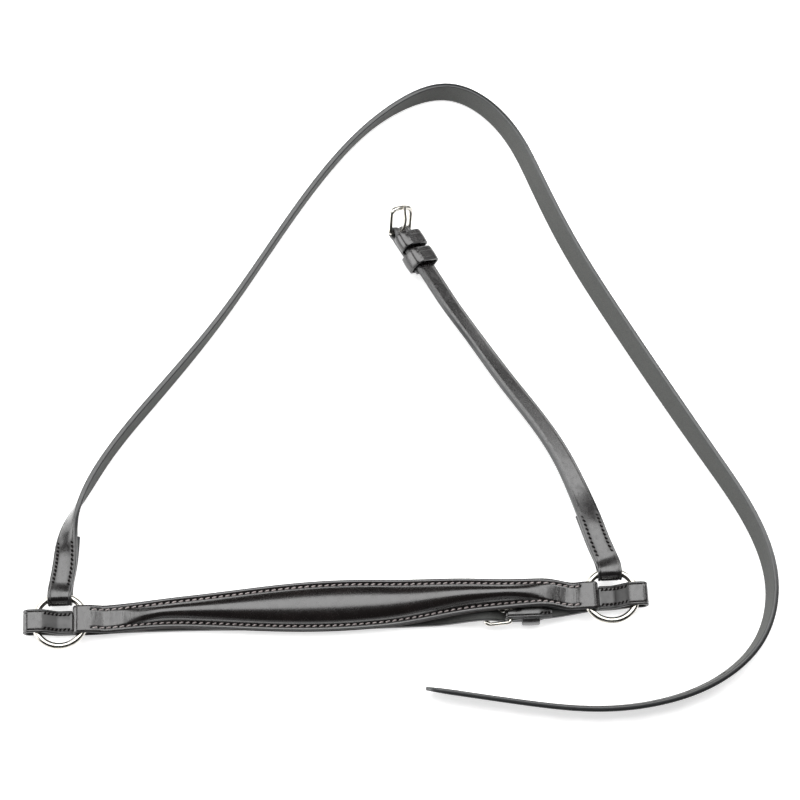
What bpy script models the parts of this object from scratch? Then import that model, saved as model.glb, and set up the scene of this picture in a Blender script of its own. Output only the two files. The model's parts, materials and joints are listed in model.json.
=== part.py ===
"""Drop noseband laid out flat, as it lies on a table.

A padded nosepiece runs between two steel rings. Its chin strap is buckled
behind it. A long head strap leaves the off-side ring, and a short cheek strap
with the buckle for it leaves the near-side ring.

Lengths are in metres. X runs along the nosepiece from the off side to the
near side, Y runs away from it towards the straps, and Z is up. Every strap is
cut flat first and is then bent along its route, as the real ones are.
"""

import math

import bmesh
import bpy
import numpy
from mathutils import Matrix, Vector

# Leather
STRAP_WIDTH = 0.0130
STRAP_THICKNESS = 0.0030
TURN_THICKNESS = 0.0017
EDGE_ROUNDING = 0.0007
SEAM_GAP = 0.00025
CLEARANCE = 0.0003
STATION_STEP = 0.0076
CHAPE_STEP = 0.0024

# Rings
RING_SPACING = 0.300
RING_WIRE_RADIUS = 0.0018
RING_CORNER_ROOM = 0.0021
NEAR_RING_LIFT = 0.0030

# Chapes sewn round the rings
CHAPE_TAPER = 0.0095
HEAD_LAP = 0.0350
CHEEK_LAP = 0.0370
CHIN_TAPER = 0.0130
CHIN_END_ROOM = 0.0004
CHIN_FOLD_PLAY = 0.0024

# Nosepiece
NOSE_MIDDLE_WIDTH = 0.0280
NOSE_END_EXTRA = 0.0024
NOSE_BOW = 0.0026
NOSE_BOW_REACH = 0.0550
NOSE_FOLD_PLAY = 0.0010
NOSE_SWELL_REACH = 0.1120
FACE_THICKNESS = 0.0020
LINING_THICKNESS = 0.0018
NOSE_LAP = 0.0270
NOSE_TAPER = 0.0120
PAD_THICKNESS = 0.0044
PAD_MARGIN = 0.0042
PAD_LOOSENESS = 0.0002
PAD_REACH = 0.1210
PAD_END_TAPER = 0.0300
NOSE_STATION = 0.0070
HUMP_START = 0.0250
HUMP_CREST_START = 0.0780
HUMP_CREST_END = 0.1120
HUMP_END = 0.1330

# Head strap
HEAD_LOOP_WIDTH = 0.3890
HEAD_LOOP_DEPTH = 0.3132
HEAD_RISE_START = 0.0220
HEAD_RISE_END = 0.0640
HEAD_TIP_LENGTH = 0.0160
HEAD_HOLE_COUNT = 7
HEAD_HOLE_PITCH = 0.0200
HEAD_HOLE_FROM_TIP = 0.0450
HEAD_HOLE_LENGTH = 0.0050
HOLE_WIDTH = 0.0034

# Cheek strap
CHEEK_CURVE_SIDE = 0.0817
CHEEK_CURVE_DEPTH = 0.1815
CHEEK_STRAIGHT = 0.0480
CHEEK_BUCKLE_LAP = 0.0290
CHEEK_KEEPER_START = 0.0044
CHEEK_RUNNER_GAP = 0.0026
CHEEK_CARRY_LENGTH = 0.0450
CHEEK_FRAME_SWING = math.radians(50.0)

# Chin strap
CHIN_BOW = 0.0038
CHIN_BOW_START = -0.1150
CHIN_BOW_CREST_START = 0.0400
CHIN_BOW_CREST_END = 0.1120
CHIN_BOW_END = 0.1440
CHIN_BAR_PLACE = 0.0945
CHIN_HUMP_RUN = 0.0300
CHIN_DESCENT_START = 0.1175
CHIN_DESCENT_END = 0.1340
CHIN_BUCKLE_LAP = 0.0220
CHIN_KEEPER_START = 0.0065
CHIN_TIP_PLACE = 0.1170
CHIN_TIP_LENGTH = 0.0100
CHIN_HOLES_BEFORE = 5
CHIN_HOLES_AFTER = 1
CHIN_HOLE_PITCH = 0.0150
CHIN_HOLE_LENGTH = 0.0078
CHIN_HOLE_FROM_BAR = 0.0036
CHIN_FRAME_SWING = math.radians(14.0)

# Buckles and keepers
BAR_RADIUS = 0.0012
LEG_RADIUS = 0.0011
END_BAR_RADIUS = 0.0015
FRAME_LENGTH = 0.0130
FRAME_SIDE_ROOM = 0.0005
FRAME_CORNER_RADIUS = 0.0024
FRAME_BAR_CORNER = 0.0012
FRAME_END_BOW = 0.0012
TONGUE_RADIUS = 0.0009
TONGUE_SLOT_WIDTH = 0.0040
TONGUE_SLOT_REACH = 0.0062
KEEPER_LENGTH = 0.0096
RUNNER_LENGTH = 0.0098
KEEPER_THICKNESS = 0.0013
KEEPER_TAB_THICKNESS = 0.0008
KEEPER_TAB_LENGTH = 0.0035
KEEPER_CORNER_RADIUS = 0.0015
KEEPER_TOP_RADIUS = 0.0024

# Sizes that follow from those above
HALF_STRAP = STRAP_WIDTH / 2
BAR_FIT = BAR_RADIUS + CLEARANCE
FOLD_RADIUS = BAR_FIT + TURN_THICKNESS
WIRE_FIT = RING_WIRE_RADIUS + CLEARANCE
CHIN_WIRE_REACH = HALF_STRAP + RING_CORNER_ROOM + WIRE_FIT + TURN_THICKNESS
RING_PITCH_RADIUS = math.hypot(CHIN_WIRE_REACH, HALF_STRAP)
STRAP_SAG = RING_PITCH_RADIUS - CHIN_WIRE_REACH
SWING_FIT = WIRE_FIT + STRAP_SAG / 2
SWING_REACH = RING_PITCH_RADIUS - STRAP_SAG / 2
NOSE_END_WIDTH = STRAP_WIDTH + NOSE_END_EXTRA
NOSE_WIRE_REACH = math.sqrt(RING_PITCH_RADIUS ** 2 - NOSE_END_WIDTH ** 2 / 4)
NOSE_FOLD_REACH = NOSE_WIRE_REACH - NOSE_FOLD_PLAY - WIRE_FIT - FACE_THICKNESS
CHIN_FOLD_REACH = RING_PITCH_RADIUS + CHIN_FOLD_PLAY
KEEPER_SLOT = KEEPER_TAB_THICKNESS + 2 * SEAM_GAP
BILLET_LEVEL = KEEPER_THICKNESS + CLEARANCE
CHIN_LAP_LEVEL = BILLET_LEVEL + STRAP_THICKNESS + CLEARANCE
NOSE_LEVEL = STRAP_THICKNESS + CLEARANCE
NOSE_CREST_LEVEL = CHIN_LAP_LEVEL + 2 * FOLD_RADIUS + CLEARANCE
OFF_RING_HEIGHT = NOSE_LEVEL + FACE_THICKNESS + WIRE_FIT
NEAR_RING_HEIGHT = OFF_RING_HEIGHT + NEAR_RING_LIFT
BAR_DEPTH = STRAP_THICKNESS / 2 - FOLD_RADIUS
OFF_RING_CENTRE = Vector((-RING_SPACING / 2, 0.0, OFF_RING_HEIGHT))
NEAR_RING_CENTRE = Vector((RING_SPACING / 2, 0.0, NEAR_RING_HEIGHT))
SWING_OFFSET = Vector((0.0, SWING_REACH, 0.0))

# Places along the straps, each as shares of the loop's width and depth, and
# the turn of the grain side out of level, in degrees
HEAD_ROUTE_SHARES = (
    (0.006, 0.096, 2), (0.014, 0.176, 52), (0.029, 0.221, 80), (0.063, 0.294, 90),
    (0.133, 0.405, 90), (0.231, 0.555, 84), (0.410, 0.868, 81), (0.494, 0.964, 84),
    (0.587, 1.000, 104), (0.664, 0.929, 113), (0.707, 0.814, 117), (0.747, 0.686, 120),
    (0.810, 0.526, 120), (0.880, 0.363, 119), (0.932, 0.246, 115), (0.979, 0.131, 111), (0.999, 0.010, 106), (0.974, -0.088, 105), (0.912, -0.155, 106),
    (0.828, -0.190, 106), (0.745, -0.197, 106), (0.635, -0.179, 105), (0.506, -0.148, 104),
)
HEAD_START_HEADING = 90.0
HEAD_END_HEADING = 169.0
CHEEK_ROUTE_SHARES = (
    (0.042, 0.149, -3), (0.102, 0.245, -12), (0.187, 0.379, -27), (0.318, 0.514, -32),
    (0.605, 0.719, -35), (0.799, 0.858, -40), (1.000, 1.000, -38),
)
CHEEK_END_HEADING = 118.0
PAD_PROFILE_SHARES = ((0.0, 1.0), (0.30, 0.96), (0.55, 0.82), (0.75, 0.60), (0.90, 0.32), (1.0, 0.0))
TONGUE_PATH_SHARES = ((0.12, 0.19), (0.30, 0.26), (0.50, 0.30), (0.70, 0.28), (0.86, 0.23))
TIP_WIDTH_SHARES = ((0.0, 1.0), (0.30, 0.97), (0.55, 0.86), (0.75, 0.69), (0.90, 0.49), (1.0, 0.28))

ROUTE_SAMPLES = 500
FOLD_SEGMENTS = 8
RING_SEGMENTS = 44
RING_SIDES = 12
HOLE_SEGMENTS = 10
UP = Vector((0.0, 0.0, 1.0))

BLACK_LEATHER = ("leather", (0.030, 0.026, 0.025, 1.0), 0.38, 0.0)
NOSE_LEATHER = ("leather", (0.035, 0.020, 0.018, 1.0), 0.30, 0.0)
LINING_LEATHER = ("leather", (0.045, 0.035, 0.032, 1.0), 0.55, 0.0)
FELT = ("felt", (0.35, 0.33, 0.30, 1.0), 0.95, 0.0)
STEEL = ("steel", (0.62, 0.61, 0.59, 1.0), 0.18, 1.0)


def eased(low, high, value):
    """Return 0 at low and 1 at high, with a level start and end between them."""
    share = min(max((value - low) / (high - low), 0.0), 1.0)
    return 0.5 - 0.5 * math.cos(math.pi * share)


def mixed(first, second, share):
    """Return the value that lies share of the way from first to second."""
    return first + (second - first) * share


def read_shares(table, share):
    """Read a table of (share, value) pairs between its rows."""
    places = [row[0] for row in table]
    values = [row[1] for row in table]
    return float(numpy.interp(share, places, values))


def spread(start, end, step):
    """Return even places from start to end, no further apart than step."""
    count = max(1, round(abs(end - start) / step))
    return [mixed(start, end, index / count) for index in range(count + 1)]


def heading_vector(degrees):
    """Return the level unit direction of a heading, with no turn of the strap."""
    angle = math.radians(degrees)
    return numpy.array((math.cos(angle), math.sin(angle), 0.0))


def cubic_through(knots, start_slope, end_slope):
    """Return even samples of the smooth curve through knots with given end slopes."""
    gaps = numpy.linalg.norm(numpy.diff(knots[:, :2], axis=0), axis=1)
    marks = numpy.concatenate(([0.0], numpy.cumsum(gaps)))
    slopes = numpy.diff(knots, axis=0) / gaps[:, None]
    slopes = numpy.vstack((start_slope, slopes, end_slope))
    count = len(knots)
    system = numpy.zeros((count, count))
    for row in range(count):
        before = gaps[row - 1] if row > 0 else 0.0
        after = gaps[row] if row < count - 1 else 0.0
        system[row, row] = 2 * (before + after)
        if row > 0:
            system[row, row - 1] = before
        if row < count - 1:
            system[row, row + 1] = after
    bends = numpy.linalg.solve(system, 6 * numpy.diff(slopes, axis=0))
    samples = []
    for mark in numpy.linspace(0.0, marks[-1], ROUTE_SAMPLES):
        span = min(int(numpy.searchsorted(marks, mark, side="right")) - 1, count - 2)
        gap = gaps[span]
        late = (mark - marks[span]) / gap
        early = 1 - late
        value = early * knots[span] + late * knots[span + 1]
        value += (early ** 3 - early) * bends[span] * gap ** 2 / 6
        value += (late ** 3 - late) * bends[span + 1] * gap ** 2 / 6
        samples.append(value)
    return numpy.array(samples)


class Route:
    """The middle line of a strap, with its directions across and out of the grain."""

    def __init__(self, points, turns):
        self.points = numpy.array(points)
        steps = numpy.linalg.norm(numpy.diff(self.points, axis=0), axis=1)
        self.marks = numpy.concatenate(([0.0], numpy.cumsum(steps)))
        self.length = float(self.marks[-1])
        self.along = self.unit(numpy.gradient(self.points, self.marks, axis=0))
        left = self.unit(numpy.cross(numpy.array(UP), self.along))
        rise = numpy.cross(self.along, left)
        angles = numpy.radians(numpy.array(turns))[:, None]
        self.grain = numpy.cos(angles) * rise + numpy.sin(angles) * left
        self.across = numpy.cos(angles) * left - numpy.sin(angles) * rise

    @staticmethod
    def unit(vectors):
        return vectors / numpy.linalg.norm(vectors, axis=1)[:, None]

    def read(self, table, distance):
        columns = [numpy.interp(distance, self.marks, table[:, axis]) for axis in range(3)]
        return Vector(columns)

    def place(self, distance, across, height):
        """Return the point at a distance along, an offset across and a height."""
        kept = min(max(distance, 0.0), self.length)
        spot = self.read(self.points, kept)
        spot += self.read(self.along, kept).normalized() * (distance - kept)
        spot += self.read(self.across, kept).normalized() * across
        spot += self.read(self.grain, kept).normalized() * height
        return spot

    def frame(self, distance, height):
        """Return a placing matrix whose X runs along, Y across and Z out of the grain."""
        kept = min(max(distance, 0.0), self.length)
        columns = [self.read(table, kept).normalized() for table in (self.along, self.across, self.grain)]
        turn = Matrix(columns).transposed().to_4x4()
        return Matrix.Translation(self.place(distance, 0.0, height)) @ turn


class Layer:
    """The side view of a strap: where each cut of the flat blank goes."""

    def __init__(self, rows):
        self.rows = numpy.array(rows)
        steps = numpy.linalg.norm(numpy.diff(self.rows[:, :2], axis=0), axis=1)
        self.marks = numpy.concatenate(([0.0], numpy.cumsum(steps)))
        self.length = float(self.marks[-1])
        slopes = numpy.gradient(self.rows[:, :2], self.marks, axis=0)
        slopes /= numpy.linalg.norm(slopes, axis=1)[:, None]
        self.outward = numpy.column_stack((-slopes[:, 1], slopes[:, 0]))

    def read(self, place):
        """Return distance, height, thickness and the outward direction at a place."""
        values = [numpy.interp(place, self.marks, self.rows[:, axis]) for axis in range(3)]
        outward = [numpy.interp(place, self.marks, self.outward[:, axis]) for axis in range(2)]
        return values, outward

    def mark_of(self, distance, height_above):
        """Return the flat place of the row nearest a distance on the upper layer."""
        upper = [row for row in range(len(self.rows)) if self.rows[row, 1] > height_above]
        places = [self.rows[row, 0] for row in upper]
        return float(numpy.interp(distance, places, [self.marks[row] for row in upper]))


def chape_rows(levels, fit, lap, thick, thin):
    """Return the side view of one sewn turn, from its cut end to the full strap.

    levels lists (distance from the wire, gap between the layers, height of
    the middle of that gap), outwards from the wire.
    """
    places = [level[0] for level in levels]

    def gap_and_axis(distance):
        for near, far in zip(levels, levels[1:]):
            if distance <= far[0]:
                share = eased(near[0], far[0], distance)
                return mixed(near[1], far[1], share), mixed(near[2], far[2], share)
        return levels[-1][1], levels[-1][2]

    run = [0.0]
    for near, far in zip([0.0] + places, places + [lap]):
        if far > near:
            run += spread(near, far, CHAPE_STEP)[1:]
    rows = []
    for distance in reversed(run[1:]):
        gap, axis = gap_and_axis(max(distance, places[0]))
        rows.append((distance, axis - gap / 2 - thin / 2, thin))
    radius = fit + thin / 2
    axis = levels[0][2]
    for index in range(FOLD_SEGMENTS + 1):
        angle = -math.pi / 2 - math.pi * index / FOLD_SEGMENTS
        rows.append((radius * math.cos(angle), axis + radius * math.sin(angle), thin))
    for distance in run[1:]:
        if distance > places[-1]:
            break
        gap, axis = gap_and_axis(max(distance, places[0]))
        thickness = mixed(thin, thick, eased(places[0], places[1], distance))
        rows.append((distance, axis + gap / 2 + thickness / 2, thickness))
    return rows


def mirrored_rows(rows, length):
    """Return a chape's rows turned about, for the far end of a strap."""
    return [(length - distance, height, thickness) for distance, height, thickness in reversed(rows)]


def joined_layer(start_rows, end_rows, length, thickness, step):
    """Join the rows of both ends of a strap by an even main run."""
    first = start_rows[-1][0] if start_rows else 0.0
    last = end_rows[0][0] if end_rows else length
    places = spread(first, last, step)
    if start_rows:
        places = places[1:]
    if end_rows:
        places = places[:-1]
    main_rows = [(place, 0.0, thickness) for place in places]
    return Layer(start_rows + main_rows + end_rows)


def bar_levels(keeper_start):
    """Return the gap levels of a buckle chape with room for the keeper's tabs."""
    slot_height = -(STRAP_THICKNESS + KEEPER_SLOT) / 2
    seam_height = -(STRAP_THICKNESS + SEAM_GAP) / 2
    keeper_end = keeper_start + KEEPER_LENGTH
    return (
        (0.0, 2 * BAR_FIT, BAR_DEPTH),
        (keeper_start - CLEARANCE, KEEPER_SLOT, slot_height),
        (keeper_end + CLEARANCE, KEEPER_SLOT, slot_height),
        (keeper_end + CLEARANCE + 2 * STRAP_THICKNESS, SEAM_GAP, seam_height),
    )


def ring_levels(reach, fit, axis, taper, thickness):
    """Return the gap levels of a ring chape that closes to a sewn lap."""
    return (
        (reach, 2 * fit, axis),
        (reach + taper, SEAM_GAP, -(thickness + SEAM_GAP) / 2),
    )


def new_object(name, mesh, surface, collection):
    """Link a mesh as a named object with a material of its own."""
    item = bpy.data.objects.new(name, mesh)
    collection.objects.link(item)
    mesh.materials.clear()
    mesh.materials.append(make_material(name, surface))
    return item


def make_material(owner, surface):
    """Make a Principled material from a kind, colour, roughness and metallic value."""
    kind, colour, roughness, metallic = surface
    material = bpy.data.materials.new(owner + "_" + kind)
    material.use_nodes = True
    shader = material.node_tree.nodes["Principled BSDF"]
    shader.inputs["Base Color"].default_value = colour
    shader.inputs["Roughness"].default_value = roughness
    shader.inputs["Metallic"].default_value = metallic
    material.diffuse_color = colour
    return material


def pill_cutter(name, places, length, width, depth, collection):
    """Make one cutter with an upright round-ended prism at each flat place."""
    cutter_mesh = bmesh.new()
    for place in places:
        made = bmesh.ops.create_cone(
            cutter_mesh, cap_ends=True, segments=HOLE_SEGMENTS,
            radius1=width / 2, radius2=width / 2, depth=depth,
        )
        stretch = (length - width) / 2
        for vertex in made["verts"]:
            vertex.co.x += place + math.copysign(stretch, vertex.co.x)
    mesh = bpy.data.meshes.new(name)
    cutter_mesh.to_mesh(mesh)
    cutter_mesh.free()
    cutter = bpy.data.objects.new(name, mesh)
    collection.objects.link(cutter)
    cutter.display_type = "WIRE"
    cutter.hide_render = True
    return cutter


def flat_blank(name, length, width, thickness, ribs):
    """Make a flat strap blank from x 0 to length, ribbed lengthwise at y places."""
    blank = bmesh.new()
    bmesh.ops.create_cube(blank, size=1.0)
    bmesh.ops.scale(blank, vec=(length, width, thickness), verts=blank.verts)
    bmesh.ops.translate(blank, vec=(length / 2, 0.0, 0.0), verts=blank.verts)
    for rib in ribs:
        everything = blank.verts[:] + blank.edges[:] + blank.faces[:]
        bmesh.ops.bisect_plane(blank, geom=everything, plane_co=(0.0, rib, 0.0), plane_no=(0.0, 1.0, 0.0))
    mesh = bpy.data.meshes.new(name)
    blank.to_mesh(mesh)
    blank.free()
    return mesh


def punched(mesh, cutters, collection):
    """Return the flat blank with its holes and slots cut through it."""
    if not cutters:
        return mesh
    blank = bpy.data.objects.new(mesh.name + "_blank", mesh)
    collection.objects.link(blank)
    for cutter in cutters:
        cut = blank.modifiers.new(cutter.name, "BOOLEAN")
        cut.operation = "DIFFERENCE"
        cut.solver = "EXACT"
        cut.object = cutter
    graph = bpy.context.evaluated_depsgraph_get()
    graph.update()
    result = bpy.data.meshes.new_from_object(blank.evaluated_get(graph))
    bpy.data.objects.remove(blank)
    return result


def cut_stations(mesh, places):
    """Cut a flat mesh across at each place and return it as a triangulated bmesh."""
    flat = bmesh.new()
    flat.from_mesh(mesh)
    for place in places:
        everything = flat.verts[:] + flat.edges[:] + flat.faces[:]
        bmesh.ops.bisect_plane(
            flat, geom=everything, dist=CLEARANCE / 1000,
            plane_co=(place, 0.0, 0.0), plane_no=(1.0, 0.0, 0.0),
        )
    bmesh.ops.remove_doubles(flat, verts=flat.verts, dist=CLEARANCE / 100)
    bmesh.ops.triangulate(flat, faces=flat.faces)
    return flat


def finish_mesh(shaped, mesh):
    """Write a bent bmesh back, facing outwards and smooth except at its edges."""
    if shaped.calc_volume(signed=True) < 0:
        bmesh.ops.reverse_faces(shaped, faces=shaped.faces)
    shaped.to_mesh(mesh)
    shaped.free()
    mesh.shade_smooth()
    mesh.set_sharp_from_angle(angle=math.radians(40.0))


def tip_width(place, length, tip_length):
    """Return the share of the full width that a strap has near its pointed tip."""
    if not tip_length:
        return 1.0
    return read_shares(TIP_WIDTH_SHARES, 1 - (length - place) / tip_length)


def bent_strap(name, route, layer, cutters, cutter_collection, tip_length=0.0):
    """Bend a flat punched strap along its side view and its route."""
    rib = HALF_STRAP - EDGE_ROUNDING
    mesh = flat_blank(name, layer.length, STRAP_WIDTH, STRAP_THICKNESS, (-rib, rib))
    mesh = punched(mesh, cutters, cutter_collection)
    mesh.name = name
    stations = list(layer.marks[1:-1])
    if tip_length:
        stations = [place for place in stations if place < layer.length - tip_length]
        stations += [layer.length - tip_length * (1 - row[0]) for row in TIP_WIDTH_SHARES[:-1]]
    strap = cut_stations(mesh, stations)
    for vertex in strap.verts:
        place = min(max(vertex.co.x, 0.0), layer.length)
        (distance, height, thickness), outward = layer.read(place)
        offset = vertex.co.z / STRAP_THICKNESS * thickness
        if abs(vertex.co.y) > HALF_STRAP - EDGE_ROUNDING / 2:
            offset -= math.copysign(EDGE_ROUNDING * thickness / STRAP_THICKNESS, offset)
        across = vertex.co.y * tip_width(place, layer.length, tip_length)
        vertex.co = route.place(distance + outward[0] * offset, across, height + outward[1] * offset)
    finish_mesh(strap, mesh)
    return mesh


def strap_rest_height(turn, half_width, half_depth):
    """Return the height at which a turned section just touches the table."""
    angle = math.radians(turn)
    return half_width * abs(math.sin(angle)) + half_depth * abs(math.cos(angle))


def head_route():
    """Return the long strap's route from the off-side ring to its tip."""
    origin = OFF_RING_CENTRE + SWING_OFFSET
    ring_height = OFF_RING_HEIGHT + (SEAM_GAP + TURN_THICKNESS) / 2
    knots = [(origin.x, origin.y + CLEARANCE, 0.0)]
    for side, depth, turn in HEAD_ROUTE_SHARES:
        knots.append((OFF_RING_CENTRE.x + side * HEAD_LOOP_WIDTH, depth * HEAD_LOOP_DEPTH, turn))
    start_slope = heading_vector(HEAD_START_HEADING)
    curve = cubic_through(numpy.array(knots), start_slope, heading_vector(HEAD_END_HEADING))
    curve = numpy.vstack(((origin.x, origin.y, 0.0), curve))
    steps = numpy.linalg.norm(numpy.diff(curve[:, :2], axis=0), axis=1)
    marks = numpy.concatenate(([0.0], numpy.cumsum(steps)))
    points = []
    for (x, y, turn), mark in zip(curve, marks):
        rest = strap_rest_height(turn, HALF_STRAP, STRAP_THICKNESS / 2)
        share = eased(HEAD_RISE_START, HEAD_RISE_END, mark)
        points.append((x, y, mixed(ring_height, rest, share)))
    return Route(points, curve[:, 2])


def cheek_route():
    """Return the buckle strap's route from the near-side ring to its buckle bar."""
    origin = NEAR_RING_CENTRE + SWING_OFFSET
    ring_height = NEAR_RING_HEIGHT + (SEAM_GAP + TURN_THICKNESS) / 2
    knots = [(origin.x, origin.y + CLEARANCE, 0.0)]
    for side, depth, turn in CHEEK_ROUTE_SHARES:
        knots.append((NEAR_RING_CENTRE.x - side * CHEEK_CURVE_SIDE, depth * CHEEK_CURVE_DEPTH, turn))
    end_direction = heading_vector(CHEEK_END_HEADING)
    curve = cubic_through(numpy.array(knots), heading_vector(HEAD_START_HEADING), end_direction)
    end_turn = curve[-1, 2]
    straight = [curve[-1] + end_direction * reach for reach in spread(0.0, CHEEK_STRAIGHT, CHAPE_STEP)[1:]]
    curve = numpy.vstack(((origin.x, origin.y, 0.0), curve, straight))
    steps = numpy.linalg.norm(numpy.diff(curve[:, :2], axis=0), axis=1)
    marks = numpy.concatenate(([0.0], numpy.cumsum(steps)))
    keeper_half = HALF_STRAP + CLEARANCE + KEEPER_THICKNESS
    keeper_depth = runner_depth() + KEEPER_THICKNESS
    carried = strap_rest_height(end_turn, keeper_half, keeper_depth)
    straight_start = marks[-1] - CHEEK_STRAIGHT
    points = []
    for (x, y, turn), mark in zip(curve, marks):
        rest = strap_rest_height(turn, HALF_STRAP, STRAP_THICKNESS / 2)
        height = mixed(ring_height, rest, eased(HEAD_RISE_START, HEAD_RISE_END, mark))
        lift = eased(straight_start - CHEEK_CARRY_LENGTH, straight_start, mark)
        points.append((x, y, mixed(height, carried, lift)))
    return Route(points, curve[:, 2])


def chin_bow(x):
    """Return how far the chin strap lies in front of the nosepiece at x."""
    out = eased(CHIN_BOW_START, CHIN_BOW_CREST_START, x)
    back = eased(CHIN_BOW_CREST_END, CHIN_BOW_END, x)
    return -CHIN_BOW * (out - back)


def chin_end_bar():
    """Return x and height of the chin buckle's end bar."""
    bar_height = CHIN_LAP_LEVEL + FOLD_RADIUS
    x = CHIN_BAR_PLACE - FRAME_LENGTH * math.cos(CHIN_FRAME_SWING)
    return x, bar_height - FRAME_LENGTH * math.sin(CHIN_FRAME_SWING)


def chin_strap_route():
    """Return the holed chin strap's route from the off-side ring to its tip."""
    end_x, end_height = chin_end_bar()
    flat = STRAP_THICKNESS / 2
    crest = end_height + END_BAR_RADIUS + CLEARANCE + flat
    under = BILLET_LEVEL + flat
    start = OFF_RING_CENTRE.x - CHIN_FOLD_REACH
    points = []
    for x in numpy.linspace(start, CHIN_TIP_PLACE, ROUTE_SAMPLES):
        height = mixed(flat, crest, eased(end_x - CHIN_HUMP_RUN, end_x, x))
        height = mixed(height, under, eased(end_x, CHIN_BAR_PLACE, x))
        points.append((x, chin_bow(x), height))
    return Route(points, [180.0] * ROUTE_SAMPLES)


def chin_buckle_route():
    """Return the short chin strap's route from the near-side ring to its bar."""
    start = NEAR_RING_CENTRE.x + CHIN_FOLD_REACH
    low = NEAR_RING_LIFT + STRAP_THICKNESS / 2
    high = CHIN_LAP_LEVEL + STRAP_THICKNESS / 2
    points = []
    for x in numpy.linspace(start, CHIN_BAR_PLACE, ROUTE_SAMPLES):
        height = mixed(high, low, eased(CHIN_DESCENT_START, CHIN_DESCENT_END, x))
        points.append((x, chin_bow(x), height))
    return Route(points, [180.0] * ROUTE_SAMPLES)


def nose_level(x):
    """Return the height of the lining's underside at x."""
    rise = eased(HUMP_START, HUMP_CREST_START, x)
    fall = eased(HUMP_CREST_END, HUMP_END, x)
    high = mixed(NOSE_LEVEL, NOSE_CREST_LEVEL, rise)
    return mixed(high, NOSE_LEVEL + NEAR_RING_LIFT, fall)


def nose_bow(x):
    """Return how far the nosepiece lies behind the line between the rings at x."""
    reach = RING_SPACING / 2 - RING_PITCH_RADIUS
    out = eased(-reach, NOSE_BOW_REACH - reach, x)
    back = eased(reach - NOSE_LAP, reach, x)
    return NOSE_BOW * (out - back)


def nose_route():
    """Return the route of the nosepiece's face leather, at the level of its edges."""
    start = OFF_RING_CENTRE.x + NOSE_WIRE_REACH - NOSE_FOLD_PLAY
    end = NEAR_RING_CENTRE.x - NOSE_WIRE_REACH + NOSE_FOLD_PLAY
    lift = LINING_THICKNESS + SEAM_GAP + FACE_THICKNESS / 2
    points = [(x, nose_bow(x), nose_level(x) + lift) for x in numpy.linspace(start, end, ROUTE_SAMPLES)]
    return Route(points, [0.0] * ROUTE_SAMPLES)


def nose_half_width(x):
    """Return half the nosepiece's width at x."""
    swell = 1 - eased(0.0, NOSE_SWELL_REACH, abs(x))
    return mixed(NOSE_END_WIDTH, NOSE_MIDDLE_WIDTH, swell) / 2


def pad_height(x, share):
    """Return the padding's thickness at x and at a share of its half width."""
    taper = 1 - eased(PAD_REACH - PAD_END_TAPER, PAD_REACH, abs(x))
    return PAD_THICKNESS * taper * read_shares(PAD_PROFILE_SHARES, abs(share))


def nose_across(x, share):
    """Return the offset across at x: shares up to 1 cover the padding, up to 2 the seam."""
    half = nose_half_width(x)
    pad_half = half - PAD_MARGIN
    size = abs(share)
    offset = pad_half * size if size <= 1 else mixed(pad_half, half, size - 1)
    return math.copysign(offset, share)


def pad_ribs():
    """Return the shares at which the face and the padding are ribbed."""
    inner = [row[0] for row in PAD_PROFILE_SHARES[1:]]
    return [-share for share in reversed(inner)] + [0.0] + inner


def nose_layer(route):
    """Return the side view of the face leather, turned in at both ends."""
    wire_axis = OFF_RING_HEIGHT - (NOSE_LEVEL + LINING_THICKNESS + SEAM_GAP + FACE_THICKNESS / 2)
    reach = RING_PITCH_RADIUS - NOSE_WIRE_REACH + NOSE_FOLD_PLAY
    levels = ring_levels(reach, WIRE_FIT, wire_axis, NOSE_TAPER, FACE_THICKNESS)
    rows = chape_rows(levels, WIRE_FIT, NOSE_LAP, FACE_THICKNESS, LINING_THICKNESS)
    return joined_layer(rows, mirrored_rows(rows, route.length), route.length, FACE_THICKNESS, NOSE_STATION)


def nose_face(collection, surface):
    """Make the face leather, turned round the inner wires of both rings."""
    route = nose_route()
    layer = nose_layer(route)
    edge_share = 2 - EDGE_ROUNDING / PAD_MARGIN
    ribs = [-edge_share] + pad_ribs() + [edge_share]
    mesh = flat_blank("nosepiece_face", layer.length, 4.0, 1.0, ribs)
    face = cut_stations(mesh, layer.marks[1:-1])
    start = route.points[0][0]
    for vertex in face.verts:
        share = vertex.co.y
        (distance, height, thickness), outward = layer.read(min(max(vertex.co.x, 0.0), layer.length))
        offset = vertex.co.z * thickness
        if abs(share) > 2 - EDGE_ROUNDING / PAD_MARGIN / 2:
            offset -= math.copysign(EDGE_ROUNDING / 2, offset)
        x = start + distance
        raised = pad_height(x, share) if outward[1] > 0 and abs(share) < 1 else 0.0
        vertex.co = route.place(
            distance + outward[0] * offset, nose_across(x, share), height + raised + outward[1] * offset,
        )
    finish_mesh(face, mesh)
    return new_object("nosepiece_face", mesh, surface, collection)


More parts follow.
